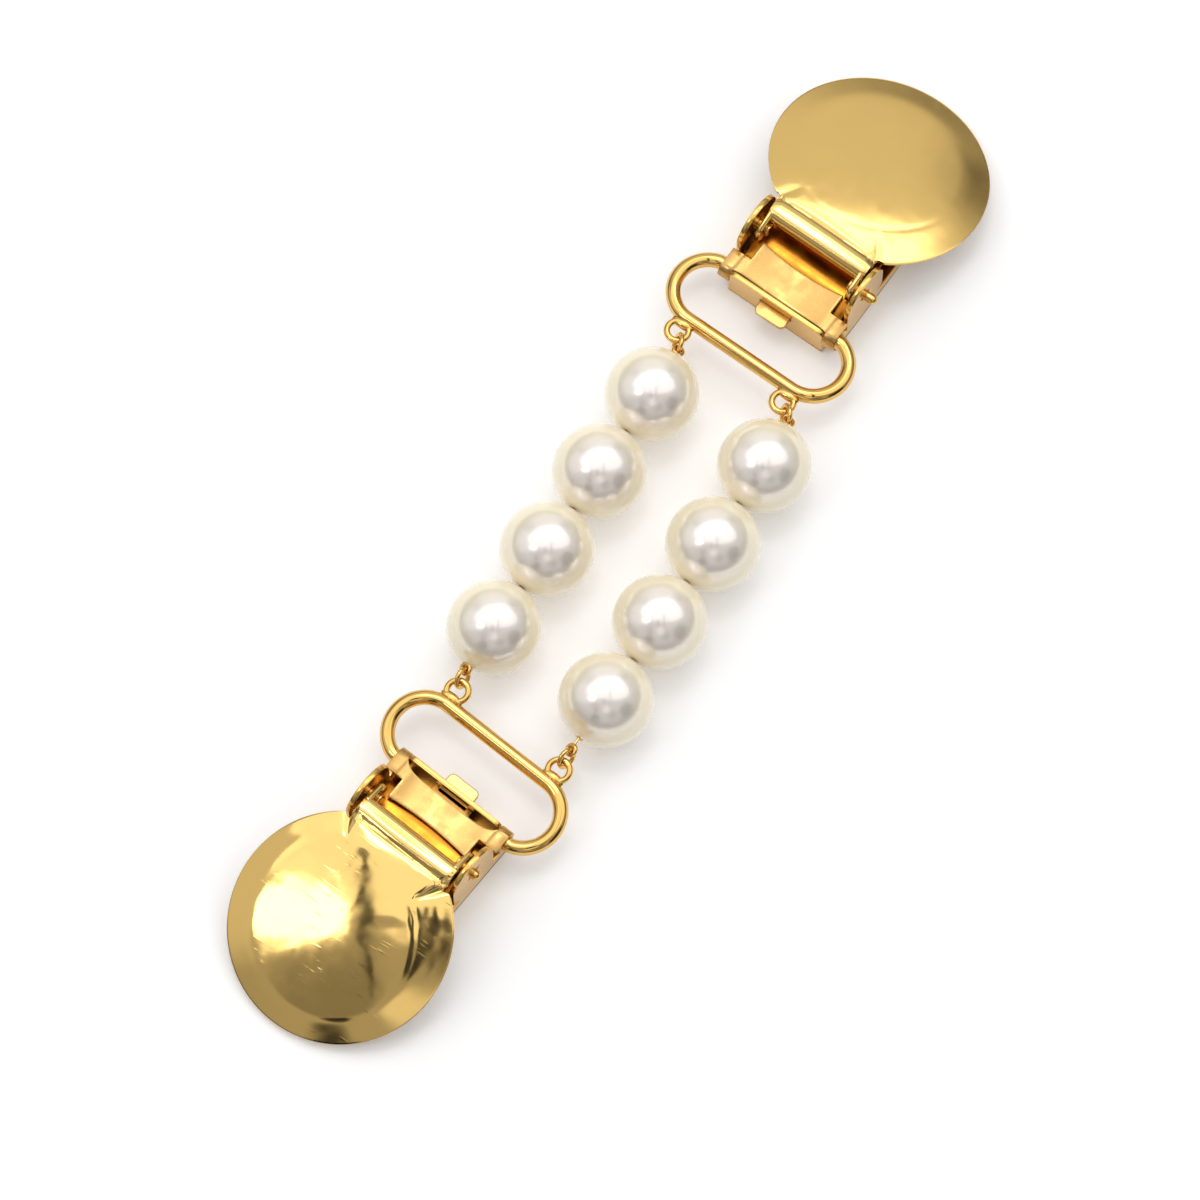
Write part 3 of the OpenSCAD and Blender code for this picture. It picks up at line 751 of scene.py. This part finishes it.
def frame_parts(s):
    """Base plate, ears with the side strips, slotted tail wall and front teeth."""
    t, half = s.frame_sheet, s.frame_w / 2
    r = s.front_corner_r
    round_x, round_y = s.frame_front - r, half - r
    outside = [(-s.tail_back, -s.tail_w / 2), (0, -s.tail_w / 2), (0, -half)]
    outside += arc(round_x, -round_y, r, -90, 0, 10) + arc(round_x, round_y, r, 0, 90, 10)
    outside += [(0, half), (0, s.tail_w / 2), (-s.tail_back, s.tail_w / 2)]
    parts = [plate([outside], t, PLATE_EDGE, Matrix.Translation((0, 0, t / 2)))]

    px, pz, er = s.pin_x, s.pin_z, s.ear_r
    ear = [(0, 0.02), (s.strip_end, 0.02), (s.strip_end, s.strip_h), (px + er - 0.5, s.strip_h),
           (px + er - 0.8, s.strip_h + 0.1), (px + er, s.strip_h + 0.9)]
    ear += arc(px, pz, er, 0, 180, 36) + [(px - er, s.strip_h), (0, s.strip_h)]
    turns = [radians(-30 + 45 * k) for k in range(8)]
    star = [(px + STAR[k % 4] * cos(a), pz + STAR[k % 4] * sin(a)) for k, a in enumerate(turns)]
    side = plate([ear, star], t, EAR_EDGE, from_side(half - t / 2))
    parts += [mirrored(side), side]

    r = WALL_CORNER_R
    w = s.tail_w / 2
    wall = [(-w, 0.1), (w, 0.1)] + arc(w - r, s.tail_h - r, r, 0, 90, 6)
    wall += arc(r - w, s.tail_h - r, r, 90, 180, 6)
    gap = s.tab_w / 2 + SLOT_BESIDE
    room = s.jaw_sheet / 2 + SLOT_OVER
    low, high = s.tongue_z - room, s.tongue_z + room
    slot = [(-gap, low), (gap, low), (gap, high), (-gap, high)]
    parts.append(plate([wall, slot], t, PLATE_EDGE, from_end(t / 2 - s.tail_back)))
    row = TEETH * TOOTH_PITCH / 2
    teeth = [(-row, 0.05), (row, 0.05)] + tooth_row(t / 2 + 0.02, t + s.tooth_h)[::-1]
    parts.append(plate([teeth], t, TOOTH_EDGE, from_end(s.frame_front - t / 2)))
    return parts


def tooth_row(low, high):
    """End view of a row of teeth."""
    points = []
    for i in range(TEETH):
        y = (i - (TEETH - 1) / 2) * TOOTH_PITCH
        points += [(y - TOOTH_FOOT, low), (y, high), (y + TOOTH_FOOT, low)]
    return points


def bow(y, width, sag):
    """Height of a shallow arc over its chord, at y from its middle."""
    return sag * max(0.0, 1 - (2 * y / width) ** 2)


def bridge_parts(s, w, end):
    """Trough-shaped plate with hollow edges, and a knuckle rolled round the ring at each side."""
    roll = w.ring_wire / 2 + RING_PLAY + s.bridge_sheet / 2
    top = s.hinge_z + roll
    tail_front = s.tail_back - s.frame_sheet
    trough = s.bridge_w - 0.2
    shoulder = s.pin_x - s.ear_r - 0.2
    half = s.bridge_w / 2

    def tail_at(y):
        """The tail edge is cut back evenly, and round at its two ends."""
        return TAIL_CUT[end] * max(0.0, 1 - (2 * y / s.tail_w) ** 8) - tail_front

    def back_half(y):
        """Places along the clip from the tail edge to the shoulder."""
        tail = tail_at(y)
        return [tail + (shoulder - tail) * k / 6 for k in range(7)]

    # Middle part, full length
    verts, faces, rows = [], [], []
    for i in range(41):
        y = s.bridge_w * i / 40 - half
        front = s.bridge_front - bow(y, s.bridge_w, s.front_hollow)
        xs = back_half(y) + [shoulder + (front - shoulder) * k / 8 for k in range(1, 9)]
        rows.append(range(len(verts), len(verts) + len(xs)))
        verts += [(x, y, top - bow(y, trough, s.bridge_sag)) for x in xs]
    for a, b in zip(rows, rows[1:]):
        faces += quads(b, a)
    # Shoulders behind the ears, on the same rows as the middle part's back half
    for sign, edge_row in ((-1, rows[0]), (1, rows[-1])):
        inner = edge_row[:7]
        for y in (half + 0.5, s.tail_w / 2 - 0.05):
            row = range(len(verts), len(verts) + 7)
            verts += [(x, sign * y, top) for x in back_half(y)]
            faces += quads(row, inner) if sign > 0 else quads(inner, row)
            inner = row
    parts = [sheet(mesh_from(verts, faces), s.bridge_sheet)]
    # Knuckle: a strip from the shoulder that rolls round the wire
    path = [(shoulder * share, top) for share in (1, 0.6, 0.25)]
    path += [(-roll * sin(radians(a)), s.hinge_z + roll * cos(radians(a)))
             for a in range(0, KNUCKLE_ROLL + 1, KNUCKLE_STEP)]
    ys = (s.tail_w / 2 - 0.1, s.tail_w / 2 + 0.3, s.knuckle_w / 2)
    verts, faces = [(x, y, z) for x, z in path for y in ys], []
    for i in range(0, 3 * len(path) - 3, 3):
        faces += quads(range(i + 3, i + 6), range(i, i + 3))
    curl = sheet(mesh_from(verts, faces), s.bridge_sheet)
    return parts + [mirrored(curl), curl]


def bent_strip(path, width, thickness):
    """A strip of sheet along a side path of x and height, its corners rounded."""
    bend, columns = 0.5, 13
    path = [Vector(p) for p in path]
    points = path[:1]
    for before, at, after in zip(path, path[1:], path[2:]):
        back = min(bend, (before - at).length / 2.2)
        ahead = min(bend, (after - at).length / 2.2)
        p, q = at + (before - at).normalized() * back, at + (after - at).normalized() * ahead
        for k in range(7):
            f = k / 6
            points.append(p * (1 - f) ** 2 + at * 2 * f * (1 - f) + q * f * f)
    points += path[-1:]
    verts = [(p.x, -width / 2 + width * k / (columns - 1), p.y) for p in points for k in range(columns)]
    rows = [range(columns * i, columns * (i + 1)) for i in range(len(points))]
    faces = [face for a, b in zip(rows, rows[1:]) for face in quads(a, b)]
    return sheet(mesh_from(verts, faces), thickness)


def jaw_parts(s):
    """The pressed sheet inside the clip with its teeth, and the tongue with the tab outside."""
    half = s.jaw_sheet / 2
    front = s.frame_front - s.frame_sheet - JAW_ROOM
    high = s.pin_z - s.lug_r - 0.25 - half
    low = s.frame_sheet + s.tooth_h + JAW_ROOM + half
    main = bent_strip([(s.tail_hollow + 0.2, s.tongue_z), (s.pin_x - 1, high), (s.pin_x + 1.5, high),
                       (front - half, low)], s.jaw_w, s.jaw_sheet)
    tongue = bent_strip([(s.frame_sheet - s.tail_back + 0.05, s.tongue_z), (s.tail_hollow + 0.4, s.tongue_z),
                         (s.tail_hollow + 0.9, s.tongue_z + 0.12)], s.tongue_w, s.jaw_sheet)
    r, w = TAB_CORNER_R, s.tab_w / 2
    tab_end = -s.tail_back - s.tab_len
    outline = [(0.2, -w), (0.2, w)] + arc(tab_end + r, w - r, r, 90, 180, 6)
    outline += arc(tab_end + r, r - w, r, 180, 270, 6)
    tab = plate([outline], s.jaw_sheet, PLATE_EDGE, Matrix.Translation((0, 0, s.tongue_z)))
    # The front edge, with notches for the frame's teeth
    w, foot = s.jaw_w / 2, s.frame_sheet + 0.25
    notches = tooth_row(foot, s.frame_sheet + s.tooth_h + 0.1)
    edge = [(w, low), (-w, low), (-w, foot)] + notches + [(w, foot)]
    bite = plate([edge], s.jaw_sheet, TOOTH_EDGE, from_end(front - half))
    return [main, bite], [tongue, tab]


def pin_mesh(s, end, side):
    """Short pin through an ear and a lug: round-ended on the right, with a low domed head on the left."""
    r = s.pin_d / 2
    inner = s.neck_w / 2 - s.lug_t - 0.15
    profile = [(0, inner - 0.3), (r * 1.2, inner - 0.3), (r * 1.3, inner - 0.24), (r * 1.3, inner - 0.04),
               (r * 1.22, inner), (r, inner)]
    if side == "right":
        plain = s.frame_w / 2 + PIN_OUT[end] - r
        profile += [(r * cos(radians(a)), plain + r * sin(radians(a))) for a in range(0, 80, 13)]
        profile.append((0, plain + r))
    else:
        head = s.frame_w / 2 + 0.05
        profile += [(r, head), (r * 1.3, head + 0.02), (r * 1.34, head + 0.12), (r * 1.2, head + 0.3),
                    (r * 0.85, head + 0.45), (r * 0.4, head + 0.52), (0, head + 0.54)]
    mesh = lathe(profile, 32)
    mesh.transform(Matrix.Translation((s.pin_x, 0, s.pin_z))
                   @ Matrix.Rotation(radians(-90 * side_sign(end, side)), 4, "X"))
    return mesh


class CLIP_OT_frames(bpy.types.Operator):
    """Base plates with their strips, ears, slotted tail walls and teeth, and the pins"""

    bl_idname = "sweater_clip.frames"
    bl_label = "Frames and pins"

    def execute(self, context):
        s = clip_sizes()
        for end in ENDS:
            piece(f"{end}_frame_sheet", frame_parts(s), clip_place(end), "Frame_gold", f"{end}_clip",
                  [f"{end}_frame"])
            for side in SIDES:
                piece(f"{end}_{side}_pin_rod", [pin_mesh(s, end, side)], clip_place(end), "Wire_gold",
                      f"{end}_clip", [f"{end}_{side}_pin"], 50)
        return {"FINISHED"}


class CLIP_OT_bridges(bpy.types.Operator):
    """Trough-shaped bridge plates with the knuckles that hold the rings"""

    bl_idname = "sweater_clip.bridges"
    bl_label = "Bridges"

    def execute(self, context):
        for end in ENDS:
            piece(f"{end}_bridge_plate", bridge_parts(clip_sizes(), strand_sizes(), end), clip_place(end),
                  "Bridge_gold", f"{end}_clip", [f"{end}_bridge"])
        return {"FINISHED"}


class CLIP_OT_jaws(bpy.types.Operator):
    """Jaw plates with the tab, the tongue through the tail wall and the teeth"""

    bl_idname = "sweater_clip.jaws"
    bl_label = "Jaws"

    def execute(self, context):
        for end in ENDS:
            inside, outside = jaw_parts(clip_sizes())
            piece(f"{end}_jaw_sheet", inside, clip_place(end), "Jaw_gold", f"{end}_clip",
                  [f"{end}_jaw"])
            piece(f"{end}_jaw_tab", outside, clip_place(end), "Bridge_gold", f"{end}_clip",
                  [f"{end}_jaw"])
        return {"FINISHED"}


# Rings, links, threads and pearls

def ring_tilt(s, w):
    """Slope of the ring from its hinge up to the eyelets."""
    return asin((w.pearl_d / 2 - w.link_rise - s.hinge_z) / (w.ring_reach + w.eyelet_out))


def ring_place(s, w):
    return Matrix.Translation((0, 0, s.hinge_z)) @ Matrix.Rotation(ring_tilt(s, w), 4, "Y")


# Half sizes of the drop of solder at each eyelet, and the share of the wire's radius where it sits
SOLDER, SOLDER_AT = (0.6, 1.35, 0.5), 0.98


def ring_parts(s, w):
    """The D-shaped wire ring, its two eyelets and the solder that holds them."""
    wire = w.ring_wire / 2
    splay = w.ring_splay
    round_r = (w.ring_reach - w.ring_elbow_r * (1 - cos(splay))) / (1 + cos(splay))
    round_y = w.ring_stub + (w.ring_elbow_r - round_r) * sin(splay)
    half = [(0, s.tail_w / 2 + 0.2), (0, w.ring_stub - 0.3)]
    degrees = splay * 180 / pi
    half += arc(-w.ring_elbow_r, w.ring_stub, w.ring_elbow_r, 0, degrees, 6)
    half += arc(round_r - w.ring_reach, round_y, round_r, degrees, 180, 44)[1:]
    half += [(-w.ring_reach, round_y * k / 6) for k in range(5, 0, -1)]
    path = half + [(-w.ring_reach, 0)] + [(x, -y) for x, y in reversed(half)]
    parts = [tube([(x, y, 0) for x, y in path], wire, 32)]
    for y in (w.eyelet_y, -w.eyelet_y):
        at = Matrix.Translation((-w.ring_reach - w.eyelet_out, y, 0))
        parts.append(wire_ring(w.eyelet_r, w.eyelet_wire / 2, at))
        parts.append(blob((-w.ring_reach - wire * SOLDER_AT, y, 0), SOLDER))
    for part in parts:
        part.transform(ring_place(s, w))
    return parts


def eyelet_at(end, side):
    """Middle of an eyelet, in the shared frame, in millimetres."""
    s, w = clip_sizes(), strand_sizes()
    local = Vector((-w.ring_reach - w.eyelet_out, side_sign(end, side) * w.eyelet_y, 0))
    return (clip_place(end) @ ring_place(s, w) @ local) / MM


def pearl_at(side, i):
    """Middle of a pearl, in the shared frame, in millimetres."""
    low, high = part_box(f"{side}_pearl_{i}")
    return (low + high) / 2 / MM


def strand_step(side, i):
    """From the joint after pearl i back to the joint before it."""
    w = strand_sizes()
    return Vector((w.pearl_d + w.pearl_gap, STRAND_Y[side][i - 1] - STRAND_Y[side][i], 0))


def strand_joint(end, side):
    """Where a strand's wire leaves its last pearl."""
    if end == "top":
        return pearl_at(side, 1) + strand_step(side, 1) / 2
    return pearl_at(side, 4) - strand_step(side, 4) / 2


class Tie:
    """The way from an eyelet to its strand: where the link and the thread's eye lie on it."""

    def __init__(self, end, side):
        w = strand_sizes()
        link_wire, eye_wire, eyelet_wire = w.link_wire / 2, w.eye_wire / 2, w.eyelet_wire / 2
        self.eye_r = eye_wire + w.link_gap + link_wire
        inside = w.link_r - link_wire - w.link_gap - eyelet_wire
        self.climb = asin(w.link_rise / (inside + w.link_r))
        eyelet = eyelet_at(end, side)
        way = strand_joint(end, side) - eyelet
        self.angle = atan2(way.y, way.x)
        way = Vector((cos(self.angle), sin(self.angle), 0))
        z = w.pearl_d / 2
        self.link = eyelet + way * (w.eyelet_r + inside * cos(self.climb))
        self.link.z = z - w.link_r * sin(self.climb)
        self.eye = eyelet + way * (w.eyelet_r + (inside + w.link_r) * cos(self.climb))
        self.eye.z = z
        self.root = self.eye + way * self.eye_r * cos(self.climb)
        self.root.z = z + self.eye_r * sin(self.climb)

    def turned(self, at, lean):
        return (Matrix.Translation(at) @ Matrix.Rotation(self.angle, 4, "Z")
                @ Matrix.Rotation(-self.climb, 4, "Y") @ Matrix.Rotation(lean, 4, "X"))


class CLIP_OT_rings(bpy.types.Operator):
    """D-shaped rings with their soldered eyelets"""

    bl_idname = "sweater_clip.rings"
    bl_label = "Rings"

    def execute(self, context):
        s, w = clip_sizes(), strand_sizes()
        for end in ENDS:
            piece(f"{end}_ring_wire", ring_parts(s, w), clip_place(end), "Wire_gold", "strands",
                  [f"{end}_ring"], 50)
        return {"FINISHED"}


class CLIP_OT_strands(bpy.types.Operator):
    """Links, wire threads with an eye at each end, and drilled pearls"""

    bl_idname = "sweater_clip.strands"
    bl_label = "Strands"

    def execute(self, context):
        w = strand_sizes()
        to_metres = Matrix.Scale(MM, 4)
        for side in SIDES:
            ties = {end: Tie(end, side) for end in ENDS}
            for end, tie in ties.items():
                ring = wire_ring(w.link_r, w.link_wire / 2, tie.turned(tie.link, w.link_lean))
                piece(f"{end}_{side}_link_wire", [ring], to_metres, "Wire_gold", "strands",
                      [f"{end}_{side}_link"], 60)
            wire = [tube([ties["top"].root, ties["bottom"].root], w.thread_d / 2, 16)]
            wire += [wire_ring(tie.eye_r, w.eye_wire / 2, tie.turned(tie.eye, w.link_lean - pi / 2))
                     for tie in ties.values()]
            piece(f"{side}_thread_wire", wire, to_metres, "Wire_gold", "strands",
                  [f"{side}_thread"], 60)
            for i in range(1, 5):
                turned = strand_step(side, i).to_track_quat("Z", "Y").to_matrix().to_4x4()
                place = Matrix.Translation(pearl_at(side, i)) @ turned
                piece(f"{side}_bead_{i}", [pearl_mesh(w)], to_metres @ place, "Pearl_nacre", "strands",
                      [f"{side}_pearl_{i}"], 60)
        return {"FINISHED"}


# Depth of the bevelled mouths, and width and depth of the soft edge round them
MOUTH_DEPTH, MOUTH_EDGE = 0.35, (0.08, 0.03)


def pearl_mesh(w):
    """Drilled sphere with bevelled mouths, round its own z axis."""
    r, hole, mouth = w.pearl_d / 2, w.hole_d / 2, w.mouth_d / 2
    first = asin(mouth / r)
    turns = [first + (pi - 2 * first) * i / 72 for i in range(73)]
    top = r * cos(first)
    edge_r, edge_z = mouth - MOUTH_EDGE[0], top - MOUTH_EDGE[1]
    profile = [(edge_r, edge_z)] + [(r * sin(a), r * cos(a)) for a in turns] + [(edge_r, -edge_z)]
    profile += [(hole, MOUTH_DEPTH - top), (hole, 0), (hole, top - MOUTH_DEPTH), (edge_r, edge_z)]
    mesh = lathe(profile, 96)
    bm = welded(mesh, 1e-5)
    bm.to_mesh(mesh)
    bm.free()
    return mesh


# Table, lights and camera

CAMERA_AT = Vector((-207.960, -138.093, 779.541)) * MM
CAMERA_RIGHT = Vector((0.56079, -0.82796, 0.0))
CAMERA_UP = Vector((0.78975, 0.53491, 0.30026))
CAMERA_BACK = CAMERA_RIGHT.cross(CAMERA_UP)
CAMERA_LENS, CAMERA_SENSOR, CAMERA_NEAR = 235.13, 36.0, 0.01
EXPOSURE = 0.12
# Half the table's side, in metres
TABLE_HALF = 2.5

# Of each soft light: degrees right of and above the camera, width and height in degrees, and brightness
SOFTBOXES = (
    ("key_softbox", 6.0, 28.0, 100.0, 56.0, 1.0),
    ("high_softbox", -2.0, 33.0, 20.0, 10.0, 5.5),
    ("side_softbox", -32.5, 3.2, 18.0, 8.5, 4.8),
    ("fold_softbox", 22.0, 49.0, 26.0, 9.0, 2.2),
)
# Of each dark card: degrees right of and above the camera, distance, width and height in metres
CARDS = (
    ("camera_card", -4.0, -3.0, 0.88, 0.10, 0.27),
    ("strip_card", -20.5, 4.0, 0.86, 0.036, 0.40),
    ("side_card", 10.0, 2.0, 0.86, 0.05, 0.75),
)
CARD_GREY = 0.03
# The room's even grey and its least brightness
ROOM_GREY, ROOM_LEAST = 0.11, 0.01
# Of each lighter or darker part of the room: its change in brightness, degrees right of and above the
# camera, and the radius of its even part and of its end in degrees
ROOM = (
    (0.33, 0.0, 17.5, 62.0, 86.0),
    (0.34, 8.0, 68.0, 14.0, 48.0),
    (-0.18, -26.0, -10.0, 5.0, 14.0),
    (0.28, -58.0, 20.0, 16.0, 28.0),
    (-0.40, 47.0, 62.0, 3.0, 13.0),
    (-0.46, -26.0, -42.0, 7.0, 12.0),
    (-0.40, -24.0, -24.0, 3.0, 6.0),
    (-0.36, 50.0, -24.0, 13.0, 19.0),
    (-0.26, 14.0, -34.0, 7.0, 13.0),
    (0.45, 2.0, -22.0, 6.0, 12.0),
)


def beside_camera(right, up):
    """Direction from the object, by degrees right of and above the camera's own direction."""
    tilt = radians(sqrt(right * right + up * up))
    way = (CAMERA_RIGHT * right + CAMERA_UP * up).normalized() if tilt else CAMERA_UP
    return CAMERA_BACK * cos(tilt) + way * sin(tilt)


def facing(right, up, distance):
    """Place of a panel that looks at the object, its long side along the camera's own."""
    back = beside_camera(right, up)
    side = (CAMERA_RIGHT - back * CAMERA_RIGHT.dot(back)).normalized()
    place = Matrix((side, back.cross(side), back)).transposed().to_4x4()
    place.translation = back * distance
    return place


def add_object(name, data, place):
    made = bpy.data.objects.new(name, data)
    made.matrix_world = place
    bpy.context.scene.collection.objects.link(made)
    return made


def area_light(name, place, size, power):
    light = bpy.data.lights.new(name, "AREA")
    light.shape, light.size, light.size_y = "ELLIPSE", size[0], size[1]
    light.energy = power
    add_object(name, light, place)


def staged(name, mesh, place, finish):
    """A mesh that belongs to the stage alone."""
    mesh.materials.append(finish)
    add_object(name, mesh, place)


def oval(width, height):
    """Flat oval mesh."""
    return mesh_from([(width / 2 * cos(tau * k / 48), height / 2 * sin(tau * k / 48), 0) for k in range(48)],
                     [tuple(range(48))])


def studio_level(paint):
    """Brightness of the room by direction: an even grey with a few soft darker and lighter parts."""
    way = paint.node("ShaderNodeTexCoord", out=0)
    level = None
    for change, right, up, inside, outside in ROOM:
        near = paint.node("ShaderNodeVectorMath", {"operation": "DOT_PRODUCT"},
                          {0: way, 1: tuple(beside_camera(right, up))}, out=1)
        part = paint.node("ShaderNodeMapRange", {"interpolation_type": "SMOOTHSTEP"},
                          {"Value": near, "From Min": cos(radians(outside)),
                           "From Max": cos(radians(inside)), "To Min": 0.0, "To Max": change})
        level = ROOM_GREY + part if level is None else level + part
    return paint.node("ShaderNodeMath", {"operation": "MAXIMUM"}, {0: level, 1: ROOM_LEAST})


class CLIP_OT_stage(bpy.types.Operator):
    """Pale table, soft studio light and the camera"""

    bl_idname = "sweater_clip.stage"
    bl_label = "Stage"

    def execute(self, context):
        scene = context.scene
        look = scene.clip_finish
        h = TABLE_HALF
        pale, paint = material("Table_pale")
        surface(paint, {"Base Color": rgba(look.table), "Roughness": 0.7, "Specular IOR Level": 0.2,
                        "Emission Color": (1.0, 1.0, 1.0, 1.0), "Emission Strength": 0.15})
        top = mesh_from([(-h, -h, 0), (h, -h, 0), (h, h, 0), (-h, h, 0)], [(0, 1, 2, 3)])
        staged("table_top", top, Matrix.Identity(4), pale)

        for name, right, up, width, height, level in SOFTBOXES:
            size = (2 * tan(radians(width / 2)), 2 * tan(radians(height / 2)))
            area_light(name, facing(right, up, 1.0), size, look.key_light * level * size[0] * size[1])
        grey, paint = material("Card_grey")
        surface(paint, {"Base Color": (CARD_GREY, CARD_GREY, CARD_GREY, 1), "Roughness": 0.9})
        for name, right, up, distance, width, height in CARDS:
            staged(name, oval(width, height), facing(right, up, distance), grey)

        world = bpy.data.worlds.new("Studio")
        scene.world = world
        world.use_nodes = True
        paint = Paint(world.node_tree)
        sky = paint.node("ShaderNodeBackground", None,
                         {"Color": (1.0, 1.0, 1.0, 1.0), "Strength": studio_level(paint)})
        paint.node("ShaderNodeOutputWorld", None, {"Surface": sky})

        lens = bpy.data.cameras.new("camera")
        lens.lens, lens.sensor_width, lens.clip_start = CAMERA_LENS, CAMERA_SENSOR, CAMERA_NEAR
        place = Matrix((CAMERA_RIGHT, CAMERA_UP, CAMERA_BACK)).transposed().to_4x4()
        place.translation = CAMERA_AT
        scene.camera = add_object("camera", lens, place)
        scene.view_settings.view_transform = "Standard"
        scene.view_settings.exposure = EXPOSURE
        return {"FINISHED"}


STEPS = ("levers", "frames", "bridges", "jaws", "rings", "strands", "stage")


class CLIP_PT_panel(bpy.types.Panel):
    """Sizes, finishes and building steps of the sweater clip"""

    bl_idname = "CLIP_PT_panel"
    bl_label = "Sweater clip"
    bl_space_type = "VIEW_3D"
    bl_region_type = "UI"
    bl_category = "Sweater clip"

    def draw(self, context):
        layout = self.layout
        for step in STEPS:
            layout.operator(f"sweater_clip.{step}")
        for group in (context.scene.clip_sizes, context.scene.strand_sizes, context.scene.clip_finish):
            box = layout.box()
            for name in group.__annotations__:
                box.prop(group, name)


CLASSES = (ClipSizes, StrandSizes, Finish, CLIP_OT_levers, CLIP_OT_frames, CLIP_OT_bridges, CLIP_OT_jaws,
           CLIP_OT_rings, CLIP_OT_strands, CLIP_OT_stage, CLIP_PT_panel)


def register():
    for cls in CLASSES:
        bpy.utils.register_class(cls)
    bpy.types.Scene.clip_sizes = PointerProperty(type=ClipSizes)
    bpy.types.Scene.strand_sizes = PointerProperty(type=StrandSizes)
    bpy.types.Scene.clip_finish = PointerProperty(type=Finish)


def unregister():
    del bpy.types.Scene.clip_finish
    del bpy.types.Scene.strand_sizes
    del bpy.types.Scene.clip_sizes
    for cls in reversed(CLASSES):
        bpy.utils.unregister_class(cls)


def main():
    register()
    for name in ("Cube", "Light", "Camera"):
        start = bpy.data.objects.get(name)
        if start is not None:
            bpy.data.objects.remove(start)
    for step in STEPS:
        getattr(bpy.ops.sweater_clip, step)()
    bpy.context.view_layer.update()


if __name__ == "__main__":
    main()
